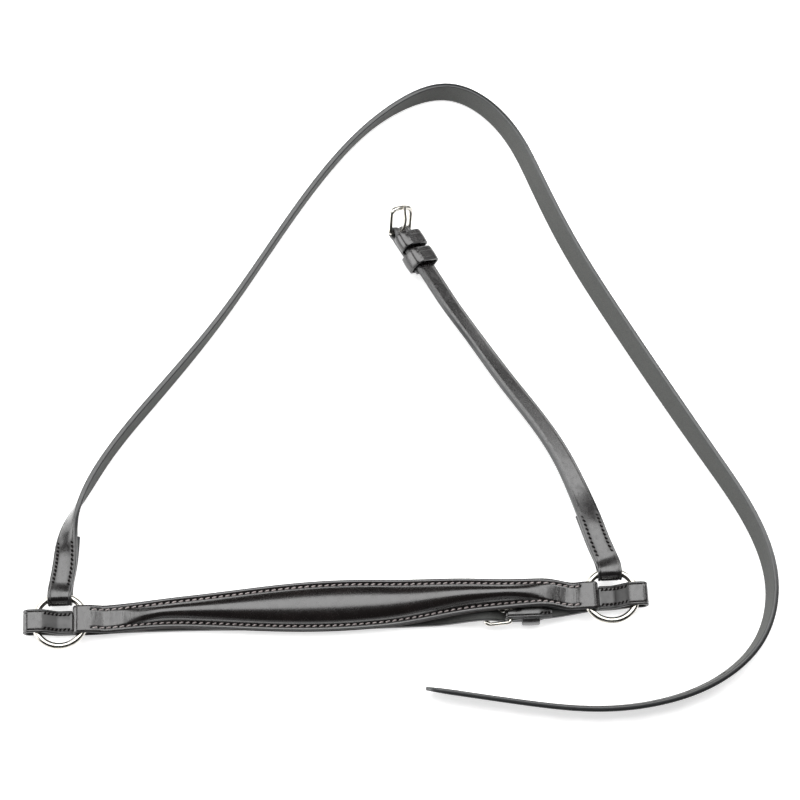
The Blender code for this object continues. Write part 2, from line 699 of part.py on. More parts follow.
def nose_padding(collection, surface):
    """Make the padding that fills the room between the face and the lining."""
    route = nose_route()
    middle = route.length / 2
    reach = PAD_REACH - PAD_END_TAPER / 3
    rows = [row[0] for row in nose_layer(route).rows if abs(row[0] - middle) < reach and row[1] > -CLEARANCE]
    start = rows[0]
    widest = PAD_PROFILE_SHARES[-2][0]
    mesh = flat_blank("nosepiece_padding", rows[-1] - start, 2 * widest, 1.0, pad_ribs()[2:-2])
    padding = cut_stations(mesh, [row - start for row in rows[1:-1]])
    for vertex in padding.verts:
        distance = start + vertex.co.x
        x = route.points[0][0] + distance
        if vertex.co.z > 0:
            height = pad_height(x, vertex.co.y) - FACE_THICKNESS / 2 - PAD_LOOSENESS
        else:
            height = PAD_LOOSENESS - FACE_THICKNESS / 2 - SEAM_GAP
        vertex.co = route.place(distance, nose_across(x, vertex.co.y), height)
    finish_mesh(padding, mesh)
    return new_object("nosepiece_padding", mesh, surface, collection)


def nose_lining(collection, surface):
    """Make the lining, butted against the turned ends of the face."""
    route = nose_route()
    level = -(FACE_THICKNESS / 2 + SEAM_GAP + LINING_THICKNESS / 2)
    start = NOSE_LAP + CLEARANCE
    end = route.length - start
    mesh = flat_blank("nosepiece_lining", end - start, 2.0, 1.0, ())
    lining = cut_stations(mesh, [place - start for place in spread(start, end, NOSE_STATION)[1:-1]])
    for vertex in lining.verts:
        distance = start + vertex.co.x
        half = nose_half_width(route.points[0][0] + distance)
        height = level + vertex.co.z * LINING_THICKNESS
        vertex.co = route.place(distance, vertex.co.y * half, height)
    finish_mesh(lining, mesh)
    return new_object("nosepiece_lining", mesh, surface, collection)


def ring(name, collection, surface):
    """Make one steel ring about its own centre."""
    bpy.ops.mesh.primitive_torus_add(
        major_radius=RING_PITCH_RADIUS, minor_radius=RING_WIRE_RADIUS,
        major_segments=RING_SEGMENTS, minor_segments=RING_SIDES,
    )
    item = bpy.context.active_object
    item.name = name
    item.data.name = name
    for owner in list(item.users_collection):
        owner.objects.unlink(item)
    collection.objects.link(item)
    item.data.materials.clear()
    item.data.materials.append(make_material(name, surface))
    item.data.shade_smooth()
    return item


def swing_chape(lap):
    """Return the rows of a chape that swings on the far wire of a ring."""
    axis = -(SEAM_GAP + TURN_THICKNESS) / 2
    levels = ring_levels(0.0, SWING_FIT, axis, CHAPE_TAPER, STRAP_THICKNESS)
    return chape_rows(levels, SWING_FIT, lap, STRAP_THICKNESS, TURN_THICKNESS)


def chin_ring_chape():
    """Return the rows of a chin strap's chape on the outer wire of a ring."""
    axis = STRAP_THICKNESS / 2 - OFF_RING_HEIGHT
    lap = CHIN_FOLD_REACH + NOSE_FOLD_REACH - CHIN_END_ROOM
    levels = ring_levels(STRAP_SAG + CHIN_FOLD_PLAY, WIRE_FIT, axis, CHIN_TAPER, STRAP_THICKNESS)
    return chape_rows(levels, WIRE_FIT, lap, STRAP_THICKNESS, TURN_THICKNESS)


def head_strap(route, collection, cutters, surface):
    """Make the long strap with its punched holes and pointed tip."""
    layer = joined_layer(swing_chape(HEAD_LAP), [], route.length, STRAP_THICKNESS, STATION_STEP)
    first = layer.length - HEAD_HOLE_FROM_TIP
    places = [first - HEAD_HOLE_PITCH * index for index in range(HEAD_HOLE_COUNT)]
    holes = pill_cutter(
        "head_strap_hole_punch", places, HEAD_HOLE_LENGTH, HOLE_WIDTH, 2 * STRAP_THICKNESS, cutters,
    )
    mesh = bent_strap("head_strap", route, layer, [holes], cutters, HEAD_TIP_LENGTH)
    return new_object("head_strap", mesh, surface, collection)


def buckle_strap(name, route, ring_rows, keeper_start, lap, collection, cutters, surface):
    """Make a strap sewn round a ring at one end and round a buckle bar at the other."""
    rows = chape_rows(bar_levels(keeper_start), BAR_FIT, lap, STRAP_THICKNESS, TURN_THICKNESS)
    end_rows = mirrored_rows(rows, route.length)
    layer = joined_layer(ring_rows, end_rows, route.length, STRAP_THICKNESS, STATION_STEP)
    fold_row = len(layer.rows) - len(end_rows) + next(
        index for index, row in enumerate(end_rows) if row[0] >= route.length
    ) + FOLD_SEGMENTS // 2
    fold_length = math.pi * (BAR_FIT + TURN_THICKNESS / 2)
    slot = pill_cutter(
        name + "_slot_punch", [layer.marks[fold_row]], fold_length + 2 * TONGUE_SLOT_REACH,
        TONGUE_SLOT_WIDTH, 2 * STRAP_THICKNESS, cutters,
    )
    mesh = bent_strap(name, route, layer, [slot], cutters)
    return new_object(name, mesh, surface, collection)


def chin_strap(route, collection, cutters, surface):
    """Make the holed chin strap that passes through the chin buckle."""
    layer = joined_layer(chin_ring_chape(), [], route.length, STRAP_THICKNESS, STATION_STEP / 2)
    pierced = numpy.interp(CHIN_BAR_PLACE - CHIN_HOLE_FROM_BAR, route.points[:, 0], route.marks)
    used = layer.mark_of(float(pierced), -STRAP_THICKNESS)
    places = [used + CHIN_HOLE_PITCH * index for index in range(-CHIN_HOLES_BEFORE, CHIN_HOLES_AFTER + 1)]
    holes = pill_cutter(
        "chin_strap_hole_punch", places, CHIN_HOLE_LENGTH, HOLE_WIDTH, 2 * STRAP_THICKNESS, cutters,
    )
    mesh = bent_strap("chin_strap", route, layer, [holes], cutters, CHIN_TIP_LENGTH)
    return new_object("chin_strap", mesh, surface, collection)


def rounded_path(corners, radii):
    """Return an open path through corners, each rounded by an arc of its radius."""
    path = [Vector(corners[0])]
    for index in range(1, len(corners) - 1):
        corner = Vector(corners[index])
        before = (Vector(corners[index - 1]) - corner).normalized()
        after = (Vector(corners[index + 1]) - corner).normalized()
        radius = radii[index]
        half_angle = before.angle(after) / 2
        centre = corner + (before + after).normalized() * radius / math.sin(half_angle)
        start = corner + before * radius / math.tan(half_angle) - centre
        end = corner + after * radius / math.tan(half_angle) - centre
        turned = start.angle(end)
        for step in range(4):
            late = math.sin(turned * step / 3) / math.sin(turned)
            early = math.sin(turned * (3 - step) / 3) / math.sin(turned)
            path.append(centre + start * early + end * late)
    path.append(Vector(corners[-1]))
    return path


def runner_depth():
    """Return how far below the strap's middle the runner's inner face lies."""
    return STRAP_THICKNESS / 2 + KEEPER_SLOT + TURN_THICKNESS + CLEARANCE


def keeper_top():
    """Return the height of the middle of a keeper's outer wall above the strap's middle."""
    return STRAP_THICKNESS / 2 + 2 * CLEARANCE + STRAP_THICKNESS + KEEPER_THICKNESS / 2


def banded_keeper(name, route, start, length, corners, collection, surface):
    """Bend a keeper's band round the strap through corners given as (across, height)."""
    radii = [KEEPER_TOP_RADIUS if height == keeper_top() else KEEPER_CORNER_RADIUS for _, height in corners]
    path = rounded_path([(0.0, across, height) for across, height in corners], radii)
    layer = Layer([(point.y, point.z, 1.0) for point in path])
    mesh = flat_blank(name, layer.length, length, 1.0, (0.0,))
    band = cut_stations(mesh, layer.marks[1:-1])
    for vertex in band.verts:
        place = min(max(vertex.co.x, 0.0), layer.length)
        (across, height, _), outward = layer.read(place)
        edge = min(place, layer.length - place)
        tab_share = 1 - eased(KEEPER_TAB_LENGTH - KEEPER_THICKNESS, KEEPER_TAB_LENGTH, edge)
        open_tab = tab_share if name.endswith("fixed_keeper") else 0.0
        thickness = mixed(KEEPER_THICKNESS, KEEPER_TAB_THICKNESS, open_tab)
        offset = vertex.co.z * thickness
        if abs(vertex.co.y) > length / 4:
            offset -= math.copysign(EDGE_ROUNDING / 3, offset)
        vertex.co = route.place(
            start + length / 2 + vertex.co.y, across + outward[0] * offset, height + outward[1] * offset,
        )
    finish_mesh(band, mesh)
    return new_object(name, mesh, surface, collection)


def fixed_keeper(name, route, keeper_start, collection, surface):
    """Make the sewn keeper whose tabs are held between the chape's layers."""
    side = HALF_STRAP + CLEARANCE + KEEPER_THICKNESS / 2
    tab = side - KEEPER_TAB_LENGTH
    tab_height = -(STRAP_THICKNESS + KEEPER_SLOT) / 2
    top = keeper_top()
    corners = ((tab, tab_height), (side, tab_height), (side, top), (-side, top), (-side, tab_height), (-tab, tab_height))
    start = route.length - keeper_start - KEEPER_LENGTH
    return banded_keeper(name, route, start, KEEPER_LENGTH, corners, collection, surface)


def runner_keeper(name, route, keeper_start, collection, surface):
    """Make the loose keeper that goes all round the strap, butted at its back."""
    side = HALF_STRAP + CLEARANCE + KEEPER_THICKNESS / 2
    bottom = -(runner_depth() + KEEPER_THICKNESS / 2)
    top = keeper_top()
    butt = SEAM_GAP / 2
    corners = ((butt, bottom), (side, bottom), (side, top), (-side, top), (-side, bottom), (-butt, bottom))
    start = route.length - keeper_start - KEEPER_LENGTH - CHEEK_RUNNER_GAP - RUNNER_LENGTH
    return banded_keeper(name, route, start, RUNNER_LENGTH, corners, collection, surface)


def swept_wire(name, points, radii, cyclic, collection, surface):
    """Make a round wire through points with a radius at each, as a closed mesh."""
    curve = bpy.data.curves.new(name, "CURVE")
    curve.dimensions = "3D"
    curve.bevel_depth = 1.0
    curve.bevel_resolution = 2
    curve.use_fill_caps = not cyclic
    wire = curve.splines.new("POLY")
    wire.points.add(len(points) - 1)
    wire.use_cyclic_u = cyclic
    for spot, point, radius in zip(wire.points, points, radii):
        spot.co = (point[0], point[1], point[2], 1.0)
        spot.radius = radius
    holder = bpy.data.objects.new(name, curve)
    collection.objects.link(holder)
    graph = bpy.context.evaluated_depsgraph_get()
    graph.update()
    mesh = bpy.data.meshes.new_from_object(holder.evaluated_get(graph))
    bpy.data.objects.remove(holder)
    bpy.data.curves.remove(curve)
    welded = bmesh.new()
    welded.from_mesh(mesh)
    bmesh.ops.remove_doubles(welded, verts=welded.verts, dist=CLEARANCE / 30)
    finish_mesh(welded, mesh)
    mesh.name = name
    return new_object(name, mesh, surface, collection)


def buckle_frame(name, collection, surface):
    """Make the frame about its bar: X towards the end bar, Y along the bar."""
    side = HALF_STRAP + FRAME_SIDE_ROOM + LEG_RADIUS
    corners = (
        (0.0, 0.0, 0.0), (0.0, side, 0.0), (FRAME_LENGTH, side, 0.0),
        (FRAME_LENGTH, -side, 0.0), (0.0, -side, 0.0), (0.0, 0.0, 0.0),
    )
    radii = (0.0, FRAME_BAR_CORNER, FRAME_CORNER_RADIUS, FRAME_CORNER_RADIUS, FRAME_BAR_CORNER, 0.0)
    outline = rounded_path(corners, radii)[:-1]
    middle = len(outline) // 2 + 1
    bowed = outline[:middle]
    for share in (-0.5, 0.0, 0.5):
        bowed.append(Vector((FRAME_LENGTH, -share * (side - FRAME_CORNER_RADIUS), 0.0)))
    bowed += outline[middle:]
    points = []
    sizes = []
    for point in bowed:
        share = eased(FRAME_LENGTH - FRAME_CORNER_RADIUS, FRAME_LENGTH, point.x)
        bow = share * FRAME_END_BOW * (1 - (point.y / side) ** 2)
        points.append((point.x + bow, point.y, point.z))
        leg_share = eased(0.0, FRAME_BAR_CORNER, point.x)
        sizes.append(mixed(mixed(BAR_RADIUS, LEG_RADIUS, leg_share), END_BAR_RADIUS, share))
    return swept_wire(name, points, sizes, True, collection, surface)


def buckle_tongue(name, collection, surface):
    """Make the tongue: an open eye round the bar and a bowed pin over the end bar."""
    eye = BAR_FIT + TONGUE_RADIUS
    points = []
    for index in range(11):
        angle = math.radians(mixed(-75.0, -260.0, index / 10))
        points.append((eye * math.cos(angle), 0.0, eye * math.sin(angle)))
    for along, height in TONGUE_PATH_SHARES:
        points.append((FRAME_LENGTH * along, 0.0, FRAME_LENGTH * height))
    rest = END_BAR_RADIUS + CLEARANCE + TONGUE_RADIUS
    points.append((FRAME_LENGTH, 0.0, rest))
    points.append((FRAME_LENGTH + FRAME_END_BOW, 0.0, rest))
    points.append((FRAME_LENGTH + FRAME_END_BOW + END_BAR_RADIUS, 0.0, rest - TONGUE_RADIUS / 2))
    radii = [TONGUE_RADIUS] * (len(points) - 1) + [TONGUE_RADIUS * 2 / 3]
    return swept_wire(name, points, radii, False, collection, surface)


def add_pivot(name, world, parent, collection):
    """Add an empty on a joint's axis under its parent pivot and keep its place."""
    pivot = bpy.data.objects.new(name, None)
    pivot.empty_display_size = RING_PITCH_RADIUS
    collection.objects.link(pivot)
    pivot["rest"] = [value for row in world for value in row]
    if parent is not None:
        pivot.parent = parent
        pivot.matrix_local = rest_matrix(parent).inverted() @ world
    else:
        pivot.matrix_local = world
    return pivot


def rest_matrix(pivot):
    """Return the place a pivot was given, before the whole part is moved."""
    values = list(pivot["rest"])
    return Matrix([values[0:4], values[4:8], values[8:12], values[12:16]])


def hang_on(item, pivot, modelled_in_place=True):
    """Parent an object to a pivot, with its origin on the pivot."""
    if modelled_in_place:
        item.data.transform(rest_matrix(pivot).inverted())
    item.parent = pivot


def bar_frame(route, swing):
    """Return the matrix of a buckle's bar: X towards the end bar, Z out of the grain."""
    return route.frame(route.length, BAR_DEPTH) @ Matrix.Rotation(-swing, 4, "Y")


def remove_everything():
    """Start from an empty scene."""
    for item in list(bpy.data.objects):
        bpy.data.objects.remove(item)


def make_collection(name):
    """Add a collection to the scene."""
    collection = bpy.data.collections.new(name)
    bpy.context.scene.collection.children.link(collection)
    return collection


def stand_on_origin(root, collection):
    """Move the whole part so that its box stands on the origin, centred."""
    bpy.context.view_layer.update()
    graph = bpy.context.evaluated_depsgraph_get()
    corners = []
    for item in collection.objects:
        if item.type == "MESH":
            mesh = item.evaluated_get(graph).data
            corners += [item.matrix_world @ vertex.co for vertex in mesh.vertices]
    low = [min(corner[axis] for corner in corners) for axis in range(3)]
    high = [max(corner[axis] for corner in corners) for axis in range(3)]
    root.location = (-(low[0] + high[0]) / 2, -(low[1] + high[1]) / 2, -low[2])
    bpy.context.view_layer.update()


def build():
    """Build the drop noseband."""
    remove_everything()
    parts = make_collection("drop_noseband")
    cutters = make_collection("cutters")
    root = add_pivot("noseband_root", Matrix.Identity(4), None, parts)
    hang_on(nose_face(parts, NOSE_LEATHER), root)
    hang_on(nose_padding(parts, FELT), root)
    hang_on(nose_lining(parts, LINING_LEATHER), root)

    off_pivot = add_pivot("off_ring_axis", Matrix.Translation(OFF_RING_CENTRE), root, parts)
    hang_on(ring("off_ring", parts, STEEL), off_pivot, modelled_in_place=False)
    near_pivot = add_pivot("near_ring_axis", Matrix.Translation(NEAR_RING_CENTRE), root, parts)
    hang_on(ring("near_ring", parts, STEEL), near_pivot, modelled_in_place=False)

    head_line = head_route()
    head_place = Matrix.Translation(OFF_RING_CENTRE + SWING_OFFSET)
    head_pivot = add_pivot("head_strap_axis", head_place, off_pivot, parts)
    hang_on(head_strap(head_line, parts, cutters, BLACK_LEATHER), head_pivot)

    cheek_line = cheek_route()
    cheek_place = Matrix.Translation(NEAR_RING_CENTRE + SWING_OFFSET)
    cheek_pivot = add_pivot("cheek_strap_axis", cheek_place, near_pivot, parts)
    cheek = buckle_strap(
        "cheek_strap", cheek_line, swing_chape(CHEEK_LAP), CHEEK_KEEPER_START, CHEEK_BUCKLE_LAP,
        parts, cutters, BLACK_LEATHER,
    )
    hang_on(cheek, cheek_pivot)
    hang_on(fixed_keeper("cheek_fixed_keeper", cheek_line, CHEEK_KEEPER_START, parts, BLACK_LEATHER), cheek_pivot)
    runner_place = cheek_line.frame(cheek_line.length - CHEEK_KEEPER_START - KEEPER_LENGTH, 0.0)
    runner_pivot = add_pivot("cheek_runner_axis", runner_place, cheek_pivot, parts)
    hang_on(runner_keeper("cheek_runner_keeper", cheek_line, CHEEK_KEEPER_START, parts, BLACK_LEATHER), runner_pivot)
    cheek_bar = add_pivot("cheek_buckle_axis", bar_frame(cheek_line, CHEEK_FRAME_SWING), cheek_pivot, parts)
    hang_on(buckle_frame("cheek_buckle_frame", parts, STEEL), cheek_bar, modelled_in_place=False)
    hang_on(buckle_tongue("cheek_buckle_tongue", parts, STEEL), cheek_bar, modelled_in_place=False)

    hang_on(chin_strap(chin_strap_route(), parts, cutters, BLACK_LEATHER), root)
    chin_line = chin_buckle_route()
    chin_short = buckle_strap(
        "chin_buckle_strap", chin_line, chin_ring_chape(), CHIN_KEEPER_START, CHIN_BUCKLE_LAP,
        parts, cutters, BLACK_LEATHER,
    )
    hang_on(chin_short, root)
    hang_on(fixed_keeper("chin_fixed_keeper", chin_line, CHIN_KEEPER_START, parts, BLACK_LEATHER), root)
    chin_bar = add_pivot("chin_buckle_axis", bar_frame(chin_line, CHIN_FRAME_SWING), root, parts)
    hang_on(buckle_frame("chin_buckle_frame", parts, STEEL), chin_bar, modelled_in_place=False)
    hang_on(buckle_tongue("chin_buckle_tongue", parts, STEEL), chin_bar, modelled_in_place=False)

    stand_on_origin(root, parts)


build()
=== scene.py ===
"""Dress a drop noseband in bridle leather, waxed thread and polished steel.

Run it in Blender as a script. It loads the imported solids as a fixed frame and
builds the finished pieces round them. Lengths are in metres. X runs along the
nosepiece from the off side to the near side, Y runs away from it, Z is up.
"""

import json
import math

import bmesh
import bpy
import numpy
from bpy.props import FloatProperty, FloatVectorProperty, PointerProperty
from mathutils import Matrix, Vector

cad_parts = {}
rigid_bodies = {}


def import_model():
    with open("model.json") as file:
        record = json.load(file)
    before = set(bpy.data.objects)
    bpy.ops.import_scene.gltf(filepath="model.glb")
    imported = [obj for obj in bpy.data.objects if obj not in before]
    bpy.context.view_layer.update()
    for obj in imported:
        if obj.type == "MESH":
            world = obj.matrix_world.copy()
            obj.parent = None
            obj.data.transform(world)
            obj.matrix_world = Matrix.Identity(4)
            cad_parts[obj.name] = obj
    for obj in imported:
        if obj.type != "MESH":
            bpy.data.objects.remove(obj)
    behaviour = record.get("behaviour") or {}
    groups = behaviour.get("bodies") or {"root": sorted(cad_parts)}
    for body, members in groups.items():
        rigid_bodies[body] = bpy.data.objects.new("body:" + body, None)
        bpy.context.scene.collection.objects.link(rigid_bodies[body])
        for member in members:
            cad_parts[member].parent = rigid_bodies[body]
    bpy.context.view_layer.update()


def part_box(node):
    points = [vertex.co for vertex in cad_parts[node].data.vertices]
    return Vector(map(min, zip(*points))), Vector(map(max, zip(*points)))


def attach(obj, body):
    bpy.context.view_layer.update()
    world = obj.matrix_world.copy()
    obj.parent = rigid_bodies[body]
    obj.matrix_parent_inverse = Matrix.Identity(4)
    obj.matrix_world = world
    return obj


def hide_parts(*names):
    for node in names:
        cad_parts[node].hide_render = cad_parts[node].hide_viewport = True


bl_info = {
    "name": "Drop noseband",
    "version": (1, 0, 0),
    "blender": (4, 5, 0),
    "location": "3D Viewport > Sidebar > Noseband",
    "description": "Builds a leather drop noseband with its rings, buckles, keepers and stitching",
    "category": "Object",
}

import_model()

# Leather
STRAP_WIDTH = 0.0130
STRAP_THICKNESS = 0.0030
TURN_THICKNESS = 0.0017
SEAM_GAP = 0.00025
CLEARANCE = 0.0003
STATION_STEP = 0.0025
CHAPE_STEP = 0.0008

# Rings
RING_SPACING = 0.300
RING_WIRE_RADIUS = 0.0018
RING_CORNER_ROOM = 0.0021
NEAR_RING_LIFT = 0.0030

# Chapes sewn round the rings
CHAPE_TAPER = 0.0095
HEAD_LAP = 0.0350
CHEEK_LAP = 0.0370
CHIN_TAPER = 0.0130
CHIN_END_ROOM = 0.0004
CHIN_FOLD_PLAY = 0.0024

# Nosepiece
NOSE_MIDDLE_WIDTH = 0.0280
NOSE_END_EXTRA = 0.0024
NOSE_BOW = 0.0026
NOSE_BOW_REACH = 0.0550
NOSE_FOLD_PLAY = 0.0010
NOSE_SWELL_REACH = 0.1120
FACE_THICKNESS = 0.0020
LINING_THICKNESS = 0.0018
NOSE_LAP = 0.0270
NOSE_TAPER = 0.0120
PAD_THICKNESS = 0.0044
PAD_MARGIN = 0.0042
PAD_LOOSENESS = 0.0002
PAD_REACH = 0.1210
PAD_END_TAPER = 0.0300
NOSE_STATION = 0.0018
HUMP_START = 0.0250
HUMP_CREST_START = 0.0780
HUMP_CREST_END = 0.1120
HUMP_END = 0.1330

# Head strap
HEAD_LOOP_WIDTH = 0.3890
HEAD_LOOP_DEPTH = 0.3132
HEAD_RISE_START = 0.0220
HEAD_RISE_END = 0.0640
HEAD_TIP_LENGTH = 0.0160
HEAD_HOLE_COUNT = 7
HEAD_HOLE_PITCH = 0.0200
HEAD_HOLE_FROM_TIP = 0.0450
HEAD_HOLE_LENGTH = 0.0050
HOLE_WIDTH = 0.0034

# Cheek strap
CHEEK_CURVE_SIDE = 0.0817
CHEEK_CURVE_DEPTH = 0.1815
CHEEK_STRAIGHT = 0.0480
CHEEK_BUCKLE_LAP = 0.0290
CHEEK_KEEPER_START = 0.0044
CHEEK_RUNNER_GAP = 0.0026
CHEEK_CARRY_LENGTH = 0.0450
CHEEK_FRAME_SWING = math.radians(50.0)

# Chin strap
CHIN_BOW = 0.0038
CHIN_BOW_START = -0.1150
CHIN_BOW_CREST_START = 0.0400
CHIN_BOW_CREST_END = 0.1120
CHIN_BOW_END = 0.1440
CHIN_BAR_PLACE = 0.0945
CHIN_HUMP_RUN = 0.0300
CHIN_DESCENT_START = 0.1175
CHIN_DESCENT_END = 0.1340
CHIN_BUCKLE_LAP = 0.0220
CHIN_KEEPER_START = 0.0065
CHIN_TIP_PLACE = 0.1170
CHIN_TIP_LENGTH = 0.0100
CHIN_HOLES_BEFORE = 5
CHIN_HOLES_AFTER = 1
CHIN_HOLE_PITCH = 0.0150
CHIN_HOLE_LENGTH = 0.0078
CHIN_HOLE_FROM_BAR = 0.0036
CHIN_FRAME_SWING = math.radians(14.0)

# Buckles and keepers
BAR_RADIUS = 0.0012
LEG_RADIUS = 0.0011
END_BAR_RADIUS = 0.0015
FRAME_LENGTH = 0.0130
FRAME_SIDE_ROOM = 0.0005
FRAME_CORNER_RADIUS = 0.0024
FRAME_BAR_CORNER = 0.0012
FRAME_END_BOW = 0.0012
TONGUE_RADIUS = 0.0009
TONGUE_SLOT_WIDTH = 0.0040
TONGUE_SLOT_REACH = 0.0062
KEEPER_LENGTH = 0.0096
RUNNER_LENGTH = 0.0098
KEEPER_THICKNESS = 0.0013
KEEPER_TAB_THICKNESS = 0.0008
KEEPER_TAB_LENGTH = 0.0035
KEEPER_CORNER_RADIUS = 0.0015
KEEPER_TOP_RADIUS = 0.0024

# Sizes that follow from those above
HALF_STRAP = STRAP_WIDTH / 2
BAR_FIT = BAR_RADIUS + CLEARANCE
FOLD_RADIUS = BAR_FIT + TURN_THICKNESS
WIRE_FIT = RING_WIRE_RADIUS + CLEARANCE
CHIN_WIRE_REACH = HALF_STRAP + RING_CORNER_ROOM + WIRE_FIT + TURN_THICKNESS
RING_PITCH_RADIUS = math.hypot(CHIN_WIRE_REACH, HALF_STRAP)
STRAP_SAG = RING_PITCH_RADIUS - CHIN_WIRE_REACH
SWING_FIT = WIRE_FIT + STRAP_SAG / 2
SWING_REACH = RING_PITCH_RADIUS - STRAP_SAG / 2
NOSE_END_WIDTH = STRAP_WIDTH + NOSE_END_EXTRA
NOSE_WIRE_REACH = math.sqrt(RING_PITCH_RADIUS ** 2 - NOSE_END_WIDTH ** 2 / 4)
NOSE_FOLD_REACH = NOSE_WIRE_REACH - NOSE_FOLD_PLAY - WIRE_FIT - FACE_THICKNESS
CHIN_FOLD_REACH = RING_PITCH_RADIUS + CHIN_FOLD_PLAY
KEEPER_SLOT = KEEPER_TAB_THICKNESS + 2 * SEAM_GAP
BILLET_LEVEL = KEEPER_THICKNESS + CLEARANCE
CHIN_LAP_LEVEL = BILLET_LEVEL + STRAP_THICKNESS + CLEARANCE
NOSE_LEVEL = STRAP_THICKNESS + CLEARANCE
NOSE_CREST_LEVEL = CHIN_LAP_LEVEL + 2 * FOLD_RADIUS + CLEARANCE
OFF_RING_HEIGHT = NOSE_LEVEL + FACE_THICKNESS + WIRE_FIT
NEAR_RING_HEIGHT = OFF_RING_HEIGHT + NEAR_RING_LIFT
BAR_DEPTH = STRAP_THICKNESS / 2 - FOLD_RADIUS
OFF_RING_CENTRE = Vector((-RING_SPACING / 2, 0.0, OFF_RING_HEIGHT))
NEAR_RING_CENTRE = Vector((RING_SPACING / 2, 0.0, NEAR_RING_HEIGHT))
SWING_OFFSET = Vector((0.0, SWING_REACH, 0.0))

# Places along the straps, each as shares of the loop's width and depth, and
# the turn of the grain side out of level, in degrees
HEAD_ROUTE_SHARES = (
    (0.006, 0.096, 2), (0.014, 0.176, 52), (0.029, 0.221, 80), (0.063, 0.294, 90),
    (0.133, 0.405, 90), (0.231, 0.555, 84), (0.410, 0.868, 81), (0.494, 0.964, 84),
    (0.587, 1.000, 104), (0.664, 0.929, 113), (0.707, 0.814, 117), (0.747, 0.686, 120),
    (0.810, 0.526, 120), (0.880, 0.363, 119), (0.932, 0.246, 115), (0.979, 0.131, 111),
    (0.999, 0.010, 106), (0.974, -0.088, 105), (0.912, -0.155, 106), (0.828, -0.190, 106),
    (0.745, -0.197, 106), (0.635, -0.179, 105), (0.506, -0.148, 104),
)
START_HEADING = 90.0
HEAD_END_HEADING = 169.0
CHEEK_ROUTE_SHARES = (
    (0.042, 0.149, -3), (0.102, 0.245, -12), (0.187, 0.379, -27), (0.318, 0.514, -32),
    (0.605, 0.719, -35), (0.799, 0.858, -40), (1.000, 1.000, -38),
)
CHEEK_END_HEADING = 118.0
TONGUE_PATH_SHARES = ((0.12, 0.19), (0.30, 0.26), (0.50, 0.30), (0.70, 0.28), (0.86, 0.23))

# Camera and light, worked out from the photograph
CAMERA_TARGET = (0.0405, 0.1231)
CAMERA_ELEVATION = 69.0
CAMERA_TURN = 2.587
CAMERA_DISTANCE = 1.450
CAMERA_LENS = 115.6
CAMERA_SENSOR = 36.0
CAMERA_CLIP_END = 20.0
WORLD_LEVEL = 0.05
GROUND_GLOW = 0.62
GROUND_SIZE = 4.0
GROUND_DROP = 0.0002
LAMPS = (
    ("softbox_behind", (0.0, 0.44, 1.42), (2.20, 1.30), 3.5),
    ("softbox_left", (-1.50, -0.10, 0.45), (1.10, 0.90), 3.8),
    ("softbox_right", (1.30, 0.85, 0.80), (1.10, 0.95), 3.2),
    ("softbox_corner", (-1.20, 1.20, 0.42), (0.90, 0.75), 2.4),
    ("softbox_front", (0.0, -1.65, 0.50), (1.40, 0.35), 0.7),
)
LAMP_AIM = Vector((0.0, 0.0, 0.0))

# Grain side, edges and tips of the straps
EDGE_ROUND = 0.0008
CREASE_INSET = 0.0014
CREASE_DEPTH = 0.00022
CREASE_SPREAD = 0.0004
RING_CREASE_REACH = 0.0120
RING_CREASE_SHARE = 0.35
WORN_SHARE = 0.72
FLESH_SPAN = (0.15, 0.42)
GRAIN_DOWN = 180.0
TIP_END_SHARE = 0.96
TIP_ROUND_POWER = 2.6
TIP_THINNING_SHARE = 0.35

# Sewn rows of the straps
SEWN_INSET = 0.0024
SEWN_ROW = HALF_STRAP - SEWN_INSET
SEWN_DEPTH_SHARE = 0.45
HEAD_SEWN_NEAR = 0.0072
HEAD_SEWN_FAR = 0.0308
HEAD_STITCHES = 10
CHEEK_SEWN_NEAR = 0.0108
CHEEK_SEWN_FAR = 0.0338
CHEEK_STITCHES = 9
CHEEK_BUCKLE_SEWN_BACK = 0.0030
CHEEK_BUCKLE_STITCHES = 4
CHEEK_CROSSED_BACKS = (0.0021, 0.0009)
CHEEK_CROSSED_STITCHES = 5
CHIN_SEWN_NEAR = 0.0040
CHIN_SEWN_BACK = 0.0015
CHIN_STITCHES = 6
CHIN_BUCKLE_SEWN_BACK = 0.0010
CHIN_BUCKLE_STITCHES = 2
CHIN_CROSSED_STITCHES = 4
KEEPER_SEWN_ROOM = 0.0005

# Threads, and the painted shade of the awl holes
STITCH_SHARE = 0.60
STITCH_SINK = 0.00015
STITCH_SLANT = math.radians(14.0)
CROSS_SLANT = math.radians(34.0)
STITCH_HEIGHT_SHARE = 0.42
STITCH_BEND_SHARE = 0.55
STITCH_FULLNESS = 0.7
LAP_HOLE_LENGTH = 0.0025
HOLE_TURN_SHARE = 3.6
HOLE_WIDTH_SHARE = 0.27
HOLE_HEIGHT_SHARE = 0.05

